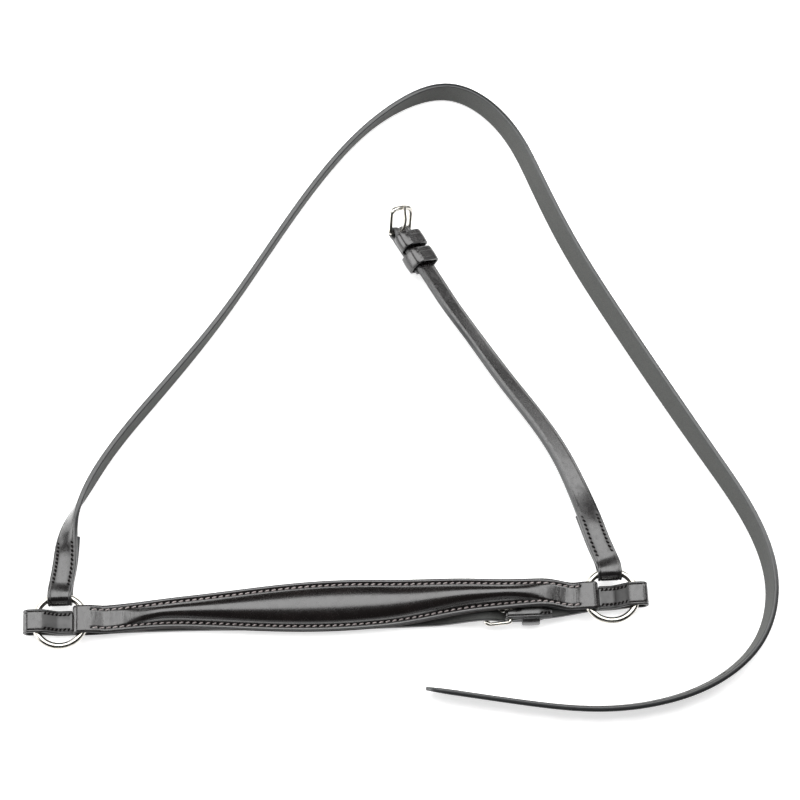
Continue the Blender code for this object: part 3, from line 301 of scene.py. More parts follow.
# Seams and creases of the nosepiece
CROWN_POWER = 0.80
NOSE_EDGE_THINNING_SHARE = 0.55
NOSE_SEWN_INSET = 0.0026
NOSE_SEWN_ROOM = 0.0005
NOSE_SEWN_SPREAD = 0.0009
NOSE_SEWN_FADE = 0.0046
NOSE_SEWN_START = 0.0062
NOSE_STITCH_SHARE = 0.78
NOSE_STITCH_SLANT = math.radians(17.0)
NOSE_STITCH_SINK = 0.00008
NOSE_STITCH_BELOW = 0.00005
NOSE_STITCH_PULL_SHARE = 0.85
NOSE_HOLE_LENGTH = 0.0017
# Share of stain and painted shade along the nosepiece's sewn grooves
NOSE_STAIN_AND_SHADE_SHARE = 0.7
NOSE_UPWARD_SHARE = 0.2
NOSE_PULL_DEPTH = 0.0009
NOSE_PULL_INNER = 0.0016
NOSE_PULL_OUTER = 0.0032
NOSE_PULL_START = 0.0850
NOSE_PULL_END = 0.1250
CREASED_SPOTS = ((-0.1160, 0.0070), (0.1165, 0.0080), (-0.1300, 0.0100), (0.1300, 0.0060))
WRINKLE_WAVES = 1250.0
WRINKLE_WANDER = 500.0
LINING_INSET_SHARE = 0.06
LINING_THINNING_SHARE = 0.5

# Finish of the keepers
KEEPER_BULGE = 0.00030
KEEPER_SIDE_BULGE = 0.0008
KEEPER_LINE_SHARE = 0.20
KEEPER_LINE_DEPTH = 0.0002
KEEPER_LINE_SPREAD = 0.0006
KEEPER_LINE_WORN = 0.0012
KEEPER_EDGE_ROUND = 0.0004
KEEPER_RIB = 0.0005
KEEPER_EDGE_REACH = 0.0005
KEEPER_EDGE_END = 0.0001
KEEPER_SIDE_SHARE = 0.75
KEEPER_FLESH_SHARE = 0.3
KEEPER_LINE_FADE_SHARE = 0.45

# Colours that the panel doesn't show
# Stain and painted shade: a near-black colour that darkens the leather along its sewn rows
STAIN_AND_SHADE_COLOUR = (0.002, 0.0015, 0.0015, 1.0)
FELT_COLOURS = ((0.20, 0.19, 0.17, 1.0), (0.42, 0.40, 0.36, 1.0))
# Painted shade for the stitch holes
HOLE_SHADE_COLOURS = ((0.002, 0.002, 0.002, 1.0), (0.006, 0.005, 0.005, 1.0))
HANDLED_STEEL = (0.50, 0.48, 0.45, 1.0)

# Scales of the patterns on the surfaces, and how deep they are
CLOUD_SCALE = 90.0
PULL_UP_SCALE = 300.0
WAVE_SCALE = 170.0
FOLD_SCALE = 520.0
FOLD_STRETCH = (1.0, 0.16, 0.3)
PORE_SCALE = 1500.0
FINE_SCALE = 2600.0
NAP_SCALE = 1900.0
LINING_PORE_SCALE = 1300.0
WOOL_SCALE = 700.0
TWIST_SCALE = 2400.0
STEEL_CLOUD_SCALE = 160.0
SCRATCH_SCALE = 1800.0
BROAD_DEPTH = 0.00028
GRAIN_DEPTH = 0.00003
LINING_DEPTH = 0.00006
WOOL_DEPTH = 0.0004
TWIST_DEPTH = 0.00006
SCRATCH_DEPTH = 0.000012

# Fineness of the meshes
UP = Vector((0.0, 0.0, 1.0))
ROUTE_SAMPLES = 500
FOLD_SEGMENTS = 18
HOLE_SEGMENTS = 30
CORNER_STEPS = 8
KEEPER_STEP = 0.0009
WIRE_STEP = 0.0011
WIRE_AROUND = 24
RING_AROUND = 120
NOSE_RIBS = 26
NOSE_OUTER_RIB = 1.94
PAD_RIBS = 12
PAD_OUTER_RIB = 0.85
PAD_EDGE = 0.9
TONGUE_EYE_STEPS = 10
TONGUE_EYE_TURN = (-75.0, -260.0)
TONGUE_SOFTENINGS = 2
CORNER_CUT = 0.25
TONGUE_THINNING_START = 0.75
SHARP_ANGLE = math.radians(50.0)
# One of these marks darkens the leather with stain and painted shade along the sewn rows
LEATHER_MARKS = ("flesh", "edge", "worn", "creased", "stain_and_shade")


def ring_shift():
    """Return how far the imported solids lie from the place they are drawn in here."""
    low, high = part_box("off_ring")
    middle = (low + high) / 2
    return middle - OFF_RING_CENTRE


SHIFT = ring_shift()


def eased(low, high, value):
    """Return 0 at low and 1 at high, with a level start and end between them."""
    share = min(max((value - low) / (high - low), 0.0), 1.0)
    return 0.5 - 0.5 * math.cos(math.pi * share)


def mixed(first, second, share):
    """Return the value that lies share of the way from first to second."""
    return first + (second - first) * share


def even_places(start, end, count):
    """Return the ends of count even spans from start to end."""
    return [mixed(start, end, index / count) for index in range(count + 1)]


def spread(start, end, step):
    """Return even places from start to end, no further apart than about step."""
    return even_places(start, end, max(1, round(abs(end - start) / step)))


def both_sides(right):
    """Return ribs on both sides of the middle and one on it."""
    return [-rib for rib in reversed(right)] + [0.0] + right


def heading_vector(degrees):
    """Return the level unit direction of a heading, with no turn of the strap."""
    angle = math.radians(degrees)
    return numpy.array((math.cos(angle), math.sin(angle), 0.0))


def cubic_through(knots, start_slope, end_slope):
    """Return even samples of the smooth curve through knots with given end slopes."""
    marks = run_marks(knots[:, :2])
    gaps = numpy.linalg.norm(numpy.diff(knots[:, :2], axis=0), axis=1)
    slopes = numpy.diff(knots, axis=0) / gaps[:, None]
    slopes = numpy.vstack((start_slope, slopes, end_slope))
    count = len(knots)
    system = numpy.zeros((count, count))
    for row in range(count):
        before = gaps[row - 1] if row > 0 else 0.0
        after = gaps[row] if row < count - 1 else 0.0
        system[row, row] = 2 * (before + after)
        if row > 0:
            system[row, row - 1] = before
        if row < count - 1:
            system[row, row + 1] = after
    bends = numpy.linalg.solve(system, 6 * numpy.diff(slopes, axis=0))
    samples = []
    for mark in numpy.linspace(0.0, marks[-1], ROUTE_SAMPLES):
        span = min(int(numpy.searchsorted(marks, mark, side="right")) - 1, count - 2)
        gap = gaps[span]
        late = (mark - marks[span]) / gap
        early = 1 - late
        value = early * knots[span] + late * knots[span + 1]
        value += (early ** 3 - early) * bends[span] * gap ** 2 / 6
        value += (late ** 3 - late) * bends[span + 1] * gap ** 2 / 6
        samples.append(value)
    return numpy.array(samples)


def run_marks(points):
    """Return how far along its path each point lies."""
    steps = numpy.linalg.norm(numpy.diff(points, axis=0), axis=1)
    return numpy.concatenate(([0.0], numpy.cumsum(steps)))


def unit_rows(vectors):
    """Return each row of a table of vectors at length 1."""
    return vectors / numpy.linalg.norm(vectors, axis=1)[:, None]


class Route:
    """The middle line of a strap, with its directions across and out of the grain."""

    def __init__(self, points, turns):
        self.points = numpy.array(points)
        self.marks = run_marks(self.points)
        self.length = float(self.marks[-1])
        self.along = unit_rows(numpy.gradient(self.points, self.marks, axis=0))
        left = unit_rows(numpy.cross(numpy.array(UP), self.along))
        rise = numpy.cross(self.along, left)
        angles = numpy.radians(numpy.array(turns))[:, None]
        self.grain = numpy.cos(angles) * rise + numpy.sin(angles) * left
        self.across = numpy.cos(angles) * left - numpy.sin(angles) * rise

    def rows_at(self, table, distances):
        columns = [numpy.interp(distances, self.marks, table[:, axis]) for axis in range(3)]
        return numpy.column_stack(columns)

    def places(self, distances, across, heights):
        """Return points at distances along, offsets across and heights out of the grain."""
        kept = numpy.clip(distances, 0.0, self.length)
        spots = self.rows_at(self.points, kept)
        spots += unit_rows(self.rows_at(self.along, kept)) * (distances - kept)[:, None]
        spots += unit_rows(self.rows_at(self.across, kept)) * across[:, None]
        spots += unit_rows(self.rows_at(self.grain, kept)) * heights[:, None]
        return spots

    def frame(self, distance, height):
        """Return a placing matrix whose X runs along, Y across and Z out of the grain."""
        kept = numpy.array([min(max(distance, 0.0), self.length)])
        tables = (self.along, self.across, self.grain)
        columns = [Vector(unit_rows(self.rows_at(table, kept))[0]) for table in tables]
        spot = self.places(numpy.array([distance]), numpy.array([0.0]), numpy.array([height]))[0]
        return Matrix.Translation(Vector(spot)) @ Matrix(columns).transposed().to_4x4()


class Layer:
    """The side view of a strap: where each cut of the flat blank goes."""

    def __init__(self, rows):
        self.rows = numpy.array(rows)
        self.marks = run_marks(self.rows[:, :2])
        self.length = float(self.marks[-1])
        slopes = unit_rows(numpy.gradient(self.rows[:, :2], self.marks, axis=0))
        self.outward = numpy.column_stack((-slopes[:, 1], slopes[:, 0]))

    def sides(self, places):
        """Return distances, heights, thicknesses and outward directions at flat places."""
        values = [numpy.interp(places, self.marks, self.rows[:, axis]) for axis in range(3)]
        outward = [numpy.interp(places, self.marks, self.outward[:, axis]) for axis in range(2)]
        return values[0], values[1], values[2], outward[0], outward[1]

    def mark_of(self, distance, height_above):
        """Return the flat place nearest a distance on the upper layer."""
        upper = [row for row in range(len(self.rows)) if self.rows[row, 1] > height_above]
        places = [self.rows[row, 0] for row in upper]
        return float(numpy.interp(distance, places, [self.marks[row] for row in upper]))


def chape_rows(levels, fit, lap, thick, thin):
    """Return the side view of one sewn turn, from its cut end to the full strap.

    levels lists (distance from the wire, gap between the layers, height of
    the middle of that gap), outwards from the wire.
    """
    places = [level[0] for level in levels]

    def gap_and_axis(distance):
        for near, far in zip(levels, levels[1:]):
            if distance <= far[0]:
                share = eased(near[0], far[0], distance)
                return mixed(near[1], far[1], share), mixed(near[2], far[2], share)
        return levels[-1][1], levels[-1][2]

    run = [0.0]
    for near, far in zip([0.0] + places, places + [lap]):
        if far > near:
            run += spread(near, far, CHAPE_STEP)[1:]
    rows = []
    for distance in reversed(run[1:]):
        gap, axis = gap_and_axis(max(distance, places[0]))
        rows.append((distance, axis - gap / 2 - thin / 2, thin))
    radius = fit + thin / 2
    axis = levels[0][2]
    for index in range(FOLD_SEGMENTS + 1):
        angle = -math.pi / 2 - math.pi * index / FOLD_SEGMENTS
        rows.append((radius * math.cos(angle), axis + radius * math.sin(angle), thin))
    for distance in run[1:]:
        if distance > places[-1]:
            break
        gap, axis = gap_and_axis(max(distance, places[0]))
        thickness = mixed(thin, thick, eased(places[0], places[1], distance))
        rows.append((distance, axis + gap / 2 + thickness / 2, thickness))
    return rows


def mirrored_rows(rows, length):
    """Return a chape's rows turned about, for the far end of a strap."""
    return [(length - distance, height, thickness) for distance, height, thickness in reversed(rows)]


def joined_layer(start_rows, end_rows, length, thickness, step):
    """Join the rows of both ends of a strap by an even main run."""
    first = start_rows[-1][0] if start_rows else 0.0
    last = end_rows[0][0] if end_rows else length
    places = spread(first, last, step)
    if start_rows:
        places = places[1:]
    if end_rows:
        places = places[:-1]
    main_rows = [(place, 0.0, thickness) for place in places]
    return Layer(start_rows + main_rows + end_rows)


def bar_levels(keeper_start):
    """Return the gap levels of a buckle chape with room for the keeper's tabs."""
    slot_height = -(STRAP_THICKNESS + KEEPER_SLOT) / 2
    seam_height = -(STRAP_THICKNESS + SEAM_GAP) / 2
    keeper_end = keeper_start + KEEPER_LENGTH
    return (
        (0.0, 2 * BAR_FIT, BAR_DEPTH),
        (keeper_start - CLEARANCE, KEEPER_SLOT, slot_height),
        (keeper_end + CLEARANCE, KEEPER_SLOT, slot_height),
        (keeper_end + CLEARANCE + 2 * STRAP_THICKNESS, SEAM_GAP, seam_height),
    )


def ring_levels(reach, fit, axis, taper, thickness):
    """Return the gap levels of a ring chape that closes to a sewn lap."""
    return (
        (reach, 2 * fit, axis),
        (reach + taper, SEAM_GAP, -(thickness + SEAM_GAP) / 2),
    )


def swing_chape(lap):
    """Return the rows of a chape that swings on the far wire of a ring."""
    axis = -(SEAM_GAP + TURN_THICKNESS) / 2
    levels = ring_levels(0.0, SWING_FIT, axis, CHAPE_TAPER, STRAP_THICKNESS)
    return chape_rows(levels, SWING_FIT, lap, STRAP_THICKNESS, TURN_THICKNESS)


def chin_ring_chape():
    """Return the rows of a chin strap's chape on the outer wire of a ring."""
    axis = STRAP_THICKNESS / 2 - OFF_RING_HEIGHT
    lap = CHIN_FOLD_REACH + NOSE_FOLD_REACH - CHIN_END_ROOM
    levels = ring_levels(STRAP_SAG + CHIN_FOLD_PLAY, WIRE_FIT, axis, CHIN_TAPER, STRAP_THICKNESS)
    return chape_rows(levels, WIRE_FIT, lap, STRAP_THICKNESS, TURN_THICKNESS)


def strap_rest_height(turn, half_width, half_depth):
    """Return the height at which a turned section just touches the table."""
    angle = math.radians(turn)
    return half_width * abs(math.sin(angle)) + half_depth * abs(math.cos(angle))


def ring_curve(ring_centre, shares, width, depth, end_heading):
    """Return a strap's rows of x, y and turn, from the far wire of its ring to its end."""
    origin = ring_centre + SWING_OFFSET
    knots = [(origin.x, origin.y + CLEARANCE, 0.0)]
    knots += [(ring_centre.x + side * width, away * depth, turn) for side, away, turn in shares]
    ends = (heading_vector(START_HEADING), heading_vector(end_heading))
    return numpy.vstack(((origin.x, origin.y, 0.0), cubic_through(numpy.array(knots), *ends)))


def resting_height(turn, mark, ring_height):
    """Return the height of a strap's middle, which comes down from its ring to the table."""
    level = ring_height + (SEAM_GAP + TURN_THICKNESS) / 2
    rest = strap_rest_height(turn, HALF_STRAP, STRAP_THICKNESS / 2)
    return mixed(level, rest, eased(HEAD_RISE_START, HEAD_RISE_END, mark))


def head_route():
    """Return the long strap's route from the off-side ring to its tip."""
    sizes = (HEAD_LOOP_WIDTH, HEAD_LOOP_DEPTH, HEAD_END_HEADING)
    curve = ring_curve(OFF_RING_CENTRE, HEAD_ROUTE_SHARES, *sizes)
    rows = zip(curve, run_marks(curve[:, :2]))
    points = [(x, y, resting_height(turn, mark, OFF_RING_HEIGHT)) for (x, y, turn), mark in rows]
    return Route(points, curve[:, 2])


def cheek_route():
    """Return the buckle strap's route from the near-side ring to its buckle bar."""
    sizes = (-CHEEK_CURVE_SIDE, CHEEK_CURVE_DEPTH, CHEEK_END_HEADING)
    curve = ring_curve(NEAR_RING_CENTRE, CHEEK_ROUTE_SHARES, *sizes)
    direction = heading_vector(CHEEK_END_HEADING)
    reaches = spread(0.0, CHEEK_STRAIGHT, CHAPE_STEP)[1:]
    curve = numpy.vstack((curve, [curve[-1] + direction * reach for reach in reaches]))
    marks = run_marks(curve[:, :2])
    keeper_half = HALF_STRAP + CLEARANCE + KEEPER_THICKNESS
    carried = strap_rest_height(curve[-1, 2], keeper_half, runner_depth() + KEEPER_THICKNESS)
    straight_start = marks[-1] - CHEEK_STRAIGHT
    points = []
    for (x, y, turn), mark in zip(curve, marks):
        lift = eased(straight_start - CHEEK_CARRY_LENGTH, straight_start, mark)
        points.append((x, y, mixed(resting_height(turn, mark, NEAR_RING_HEIGHT), carried, lift)))
    return Route(points, curve[:, 2])


def chin_bow(x):
    """Return how far the chin strap lies in front of the nosepiece at x."""
    out = eased(CHIN_BOW_START, CHIN_BOW_CREST_START, x)
    back = eased(CHIN_BOW_CREST_END, CHIN_BOW_END, x)
    return -CHIN_BOW * (out - back)


def chin_end_bar():
    """Return x and height of the chin buckle's end bar."""
    bar_height = CHIN_LAP_LEVEL + FOLD_RADIUS
    x = CHIN_BAR_PLACE - FRAME_LENGTH * math.cos(CHIN_FRAME_SWING)
    return x, bar_height - FRAME_LENGTH * math.sin(CHIN_FRAME_SWING)


def level_route(start, end, turn, side, height):
    """Return a route along X, from functions of x for its side shift and its height."""
    points = [(x, side(x), height(x)) for x in numpy.linspace(start, end, ROUTE_SAMPLES)]
    return Route(points, [turn] * ROUTE_SAMPLES)


def chin_strap_route():
    """Return the holed chin strap's route from the off-side ring to its tip."""
    end_x, end_height = chin_end_bar()
    flat = STRAP_THICKNESS / 2
    crest = end_height + END_BAR_RADIUS + CLEARANCE + flat

    def height(x):
        over = mixed(flat, crest, eased(end_x - CHIN_HUMP_RUN, end_x, x))
        return mixed(over, BILLET_LEVEL + flat, eased(end_x, CHIN_BAR_PLACE, x))

    start = OFF_RING_CENTRE.x - CHIN_FOLD_REACH
    return level_route(start, CHIN_TIP_PLACE, GRAIN_DOWN, chin_bow, height)


def chin_buckle_route():
    """Return the short chin strap's route from the near-side ring to its bar."""
    low = NEAR_RING_LIFT + STRAP_THICKNESS / 2
    high = CHIN_LAP_LEVEL + STRAP_THICKNESS / 2

    def height(x):
        return mixed(high, low, eased(CHIN_DESCENT_START, CHIN_DESCENT_END, x))

    start = NEAR_RING_CENTRE.x + CHIN_FOLD_REACH
    return level_route(start, CHIN_BAR_PLACE, GRAIN_DOWN, chin_bow, height)


def nose_level(x):
    """Return the height of the lining's underside at x."""
    rise = eased(HUMP_START, HUMP_CREST_START, x)
    fall = eased(HUMP_CREST_END, HUMP_END, x)
    high = mixed(NOSE_LEVEL, NOSE_CREST_LEVEL, rise)
    return mixed(high, NOSE_LEVEL + NEAR_RING_LIFT, fall)


def nose_bow(x):
    """Return how far the nosepiece lies behind the line between the rings at x."""
    reach = RING_SPACING / 2 - RING_PITCH_RADIUS
    out = eased(-reach, NOSE_BOW_REACH - reach, x)
    back = eased(reach - NOSE_LAP, reach, x)
    return NOSE_BOW * (out - back)


def nose_route():
    """Return the route of the nosepiece's face leather, at the level of its edges."""
    reach = NOSE_WIRE_REACH - NOSE_FOLD_PLAY
    lift = LINING_THICKNESS + SEAM_GAP + FACE_THICKNESS / 2
    ends = (OFF_RING_CENTRE.x + reach, NEAR_RING_CENTRE.x - reach)
    return level_route(*ends, 0.0, nose_bow, lambda x: nose_level(x) + lift)


def nose_half_width(x):
    """Return half the nosepiece's width at x."""
    swell = 1 - eased(0.0, NOSE_SWELL_REACH, abs(x))
    return mixed(NOSE_END_WIDTH, NOSE_MIDDLE_WIDTH, swell) / 2


class Value:
    """A node socket that can be written in sums and products."""

    def __init__(self, sheet, socket):
        self.sheet = sheet
        self.socket = socket

    def sum_with(self, operation, other, turned=False):
        values = [other, self] if turned else [self, other]
        return self.sheet.node("ShaderNodeMath", {"operation": operation}, values)

    def __add__(self, other):
        return self.sum_with("ADD", other)

    def __radd__(self, other):
        return self.sum_with("ADD", other, turned=True)

    def __sub__(self, other):
        return self.sum_with("SUBTRACT", other)

    def __rsub__(self, other):
        return self.sum_with("SUBTRACT", other, turned=True)

    def __mul__(self, other):
        return self.sum_with("MULTIPLY", other)

    def __rmul__(self, other):
        return self.sum_with("MULTIPLY", other, turned=True)

    def limited(self, low, high):
        """Return 0 below low, 1 above high and a smooth rise between them."""
        settings = {"interpolation_type": "SMOOTHSTEP"}
        return self.sheet.node("ShaderNodeMapRange", settings, {0: self, 1: low, 2: high})


class Sheet:
    """A material written as expressions on a Principled shader."""

    def __init__(self, name):
        self.material = bpy.data.materials.new(name)
        self.material.use_nodes = True
        self.tree = self.material.node_tree
        self.shader = self.tree.nodes["Principled BSDF"]

    def node(self, kind, settings, values, output=0):
        """Add a node, set its settings first and then its sockets' values or links."""
        made = self.tree.nodes.new(kind)
        for name, setting in settings.items():
            setattr(made, name, setting)
        pairs = values.items() if isinstance(values, dict) else enumerate(values)
        for key, value in pairs:
            self.give(made.inputs[key], value)
        return Value(self, made.outputs[output])

    def give(self, socket, value):
        if isinstance(value, Value):
            self.tree.links.new(value.socket, socket)
        else:
            socket.default_value = value

    def mixed_colour(self, share, first, second):
        """Return the colour that lies share of the way from first to second."""
        values = {0: share, 6: first, 7: second}
        return self.node("ShaderNodeMix", {"data_type": "RGBA"}, values, output=2)

    def place(self):
        return self.node("ShaderNodeTexCoord", {}, {}, output="Object")

    def stretched(self, place, scale):
        """Return a place drawn out along an axis whose scale is small."""
        return self.node("ShaderNodeMapping", {}, {"Vector": place, "Scale": scale})

    def attribute(self, name):
        return self.node("ShaderNodeAttribute", {"attribute_name": name}, {}, output="Fac")

    def noise(self, place, scale, detail=2.0, roughness=0.5):
        values = {"Vector": place, "Scale": scale, "Detail": detail, "Roughness": roughness}
        return self.node("ShaderNodeTexNoise", {}, values)

    def cells(self, place, scale):
        return self.node("ShaderNodeTexVoronoi", {}, {"Vector": place, "Scale": scale})

    def bump(self, height, distance, strength=1.0, normal=None):
        values = {"Height": height, "Distance": distance, "Strength": strength}
        if normal is not None:
            values["Normal"] = normal
        return self.node("ShaderNodeBump", {}, values)

    def finish(self, links, constants):
        for name, value in {**links, **constants}.items():
            self.give(self.shader.inputs[name], value)
        return self.material


def colour_of(name):
    """Return one of the panel's colours with full opacity."""
    return (*getattr(bpy.context.scene.noseband_colours, name), 1.0)


def size_of(name):
    """Return one of the panel's sizes."""
    return getattr(bpy.context.scene.noseband_sizes, name)


def paler(colour, times, lift=0.0):
    """Return a colour with its parts multiplied and lifted, at full opacity."""
    return tuple(min(1.0, part * times + lift) for part in colour[:3]) + (1.0,)


def made_once(maker):
    """Return the material that has its maker's name, made the first time."""
    found = bpy.data.materials.get(maker.__name__)
    return found if found is not None else maker(maker.__name__)


def strap_leather(name):
    """Glossy bridle leather: grain on one side, napped flesh on the other, dyed edges."""
    shares = {"dullness": 0.20, "unevenness": 0.8, "edge_dullness": 0.26}
    return leather(name, colour_of("strap_leather"), **shares)


def keeper_leather(name):
    """The keepers' leather, smoother than the straps'."""
    shares = {"dullness": 0.20, "unevenness": 0.25, "edge_dullness": 0.26}
    return leather(name, colour_of("strap_leather"), **shares)


def nosepiece_grain(name):
    """The nosepiece's face leather, a shade browner than the straps'."""
    shares = {"dullness": 0.20, "unevenness": 0.45, "edge_dullness": 0.50}
    return leather(name, colour_of("face_leather"), **shares)


def leather(name, colour, dullness, unevenness, edge_dullness):
    """Make leather that follows its points' marks of flesh, cut edge, wear, creases, and stain with
    painted shade.
    """
    sheet = Sheet(name)
    place = sheet.place()
    flesh, edge, worn, creased, stain_and_shade = [sheet.attribute(mark) for mark in LEATHER_MARKS]
    grain = 1 - flesh
    clouds = sheet.noise(place, CLOUD_SCALE, 3.0)
    pull_up = sheet.noise(place, PULL_UP_SCALE, 4.0, 0.6)
    waves = sheet.noise(place, WAVE_SCALE, 2.0, 0.4)
    folds = sheet.noise(sheet.stretched(place, FOLD_STRETCH), FOLD_SCALE, 3.0, 0.55)
    pores = sheet.cells(place, PORE_SCALE)
    fine = sheet.noise(place, FINE_SCALE, 3.0, 0.6)
    nap = sheet.noise(place, NAP_SCALE, 5.0, 0.7)
    pale = paler(colour, 2.1)
    rubbed = paler(colour, 3.2, 0.012)
    grain_colour = sheet.mixed_colour(clouds.limited(0.42, 0.72) * 0.5, colour, pale)
    grain_colour = sheet.mixed_colour(worn * pull_up.limited(0.35, 0.7) * 0.7, grain_colour, rubbed)
    # Stain and painted shade: the grain colour darkens towards near-black where the sewn rows are marked
    grain_colour = sheet.mixed_colour(stain_and_shade * 0.8, grain_colour, STAIN_AND_SHADE_COLOUR)
    flesh_ends = (colour_of("flesh_dark"), colour_of("flesh_pale"))
    flesh_colour = sheet.mixed_colour(nap.limited(0.3, 0.7), *flesh_ends)
    body_colour = sheet.mixed_colour(flesh, grain_colour, flesh_colour)
    edge_colour = sheet.mixed_colour(fine.limited(0.4, 0.75) * 0.5, colour_of("edge_dye"), pale)
    full_colour = sheet.mixed_colour(edge, body_colour, edge_colour)
    mottled = pull_up.limited(0.42, 0.72) * unevenness
    gloss = dullness + clouds * 0.08 + mottled * 0.12 + stain_and_shade * 0.16
    gloss = gloss + creased * folds.limited(0.4, 0.65) * 0.12
    roughness = gloss * grain + flesh * 0.86
    roughness = roughness * (1 - edge * 0.6) + edge * edge_dullness
    grain_height = (1 - pores.limited(0.0, 0.6)) * 0.6 + fine * 0.4
    height = grain_height * grain * 0.6 + nap * flesh * 1.6 + fine * edge * 0.8
    broad = sheet.bump(waves * unevenness * 0.55 + folds * creased * 2.6, BROAD_DEPTH, 0.6)
    normal = sheet.bump(height, GRAIN_DEPTH, 0.5, broad)
    coat = grain * (1 - edge * min(1.0, edge_dullness * 2)) * (1 - stain_and_shade * 0.6)
    coat = coat * (1 - mottled * 0.45) * 0.70
    links = {"Base Color": full_colour, "Roughness": roughness, "Normal": normal, "Coat Weight": coat}
    return sheet.finish(links, {"Coat Roughness": dullness + 0.03, "Specular IOR Level": 0.8})


def soft_lining(name):
    """Soft dull lining leather with a fine even grain."""
    sheet = Sheet(name)
    place = sheet.place()
    clouds = sheet.noise(place, CLOUD_SCALE, 3.0)
    pores = sheet.cells(place, LINING_PORE_SCALE)
    colour = colour_of("lining_leather")
    full_colour = sheet.mixed_colour(clouds.limited(0.35, 0.7), colour, paler(colour, 1.8))
    normal = sheet.bump(1 - pores.limited(0.0, 0.6), LINING_DEPTH, 0.6)
    links = {"Base Color": full_colour, "Roughness": clouds * 0.12 + 0.5, "Normal": normal}
    return sheet.finish(links, {})


def padding_felt(name):
    """Pressed wool felt."""
    sheet = Sheet(name)
    place = sheet.place()
    wool = sheet.noise(place, WOOL_SCALE, 6.0, 0.7)
    full_colour = sheet.mixed_colour(wool.limited(0.3, 0.7), *FELT_COLOURS)
    links = {"Base Color": full_colour, "Normal": sheet.bump(wool, WOOL_DEPTH)}
    return sheet.finish(links, {"Roughness": 0.95})


def waxed_thread(name):
    """The laps' dark waxed thread."""
    return linen_thread(name, colour_of("thread"))


def pale_thread_with_painted_glint(name):
    """The nosepiece's thread, a little paler: partly its own colour, partly a painted highlight for the
    glints of the waxed thread.
    """
    return linen_thread(name, colour_of("nose_thread"))


def linen_thread(name, colour):
    """Make linen thread with a slight twist and shine."""
    sheet = Sheet(name)
    place = sheet.place()
    twist = sheet.noise(place, TWIST_SCALE, 2.0)
    full_colour = sheet.mixed_colour(twist.limited(0.35, 0.7), colour, paler(colour, 2.0))
    roughness = twist * 0.14 + 0.20
    normal = sheet.bump(twist, TWIST_DEPTH)
    links = {"Base Color": full_colour, "Roughness": roughness, "Normal": normal}
    return sheet.finish(links, {"Specular IOR Level": 0.9})


def painted_hole_shade(name):
    """Painted shade of a stitch hole: a near-black colour standing in for the shaded inside of the hole.
    """
    sheet = Sheet(name)
    shade = sheet.noise(sheet.place(), PORE_SCALE, 2.0)
    full_colour = sheet.mixed_colour(shade, *HOLE_SHADE_COLOURS)
    return sheet.finish({"Base Color": full_colour}, {"Roughness": 0.9, "Specular IOR Level": 0.1})


def polished_steel(name):
    """Polished stainless steel with fine handling marks."""
    sheet = Sheet(name)
    place = sheet.place()
    clouds = sheet.noise(place, STEEL_CLOUD_SCALE, 4.0, 0.6)
    scratches = sheet.noise(place, SCRATCH_SCALE, 3.0, 0.7)
    full_colour = sheet.mixed_colour(clouds.limited(0.35, 0.75), colour_of("steel"), HANDLED_STEEL)
    roughness = scratches.limited(0.45, 0.8) * 0.12 + clouds * 0.10 + 0.09
    normal = sheet.bump(scratches, SCRATCH_DEPTH, 0.4)
    links = {"Base Color": full_colour, "Roughness": roughness, "Normal": normal}
    return sheet.finish(links, {"Metallic": 1.0})


def add_object(name, data):
    """Link a new object into the scene and return it."""
    item = bpy.data.objects.new(name, data)
    bpy.context.scene.collection.objects.link(item)
    return item


def add_piece(name, mesh, body, maker, replaced=()):
    """Place a finished mesh in the frame, on its body, for the solids it stands for."""
    mesh.name = name
    mesh.transform(Matrix.Translation(SHIFT))
    mesh.materials.append(made_once(maker))
    mesh.shade_smooth()
    mesh.set_sharp_from_angle(angle=SHARP_ANGLE)
    item = add_object(name, mesh)
    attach(item, body)
    if replaced:
        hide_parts(*replaced)
    return item


def mesh_of(shape):
    """Turn a finished bmesh into a mesh that faces outwards."""
    if shape.calc_volume(signed=True) < 0:
        bmesh.ops.reverse_faces(shape, faces=shape.faces)
    mesh = bpy.data.meshes.new("shape")
    shape.to_mesh(mesh)
    shape.free()
    return mesh


def bent_mesh(blank, spots):
    """Move the points of a flat blank to their bent places and return its mesh."""
    for vertex, spot in zip(blank.verts, spots):
        vertex.co = spot
    return mesh_of(blank)


def finished_shape(item, helpers=()):
    """Return an object's evaluated shape as a bmesh, and remove it with its helpers."""
    graph = bpy.context.evaluated_depsgraph_get()
    graph.update()
    result = bpy.data.meshes.new_from_object(item.evaluated_get(graph))
    shape = bmesh.new()
    shape.from_mesh(result)
    used = (item, *helpers)
    bpy.data.batch_remove([result, *used, *[one.data for one in used]])
    return shape


def round_edged_blank(marks, half_width, thickness, rounding, ribs):
    """Make a flat strip with rounded edges, ribs along it and a row at every mark."""
    blank = bmesh.new()
    bmesh.ops.create_cube(blank, size=1.0)
    bmesh.ops.scale(blank, vec=(1.0, 2 * half_width, thickness), verts=blank.verts)
    bmesh.ops.translate(blank, vec=(0.5, 0.0, 0.0), verts=blank.verts)
    if rounding:
        bmesh.ops.bevel(
            blank, geom=lengthwise(blank), offset=rounding, offset_type="OFFSET",
            segments=3, profile=0.5, affect="EDGES", material=-1,
        )
    for rib in ribs:
        everything = blank.verts[:] + blank.edges[:] + blank.faces[:]
        bmesh.ops.bisect_plane(
            blank, geom=everything, plane_co=(0.0, rib, 0.0), plane_no=(0.0, 1.0, 0.0),
        )
    count = len(marks) - 1
    if count > 1:
        bmesh.ops.subdivide_edges(blank, edges=lengthwise(blank), cuts=count - 1, use_grid_fill=True)
    for vertex in blank.verts:
        vertex.co.x = marks[min(max(round(vertex.co.x * count), 0), count)]
    return blank


def lengthwise(blank):
    """Return the edges of a blank, one unit long, that run along it."""
    return [edge for edge in blank.edges if abs(edge.verts[0].co.x - edge.verts[1].co.x) > 0.5]


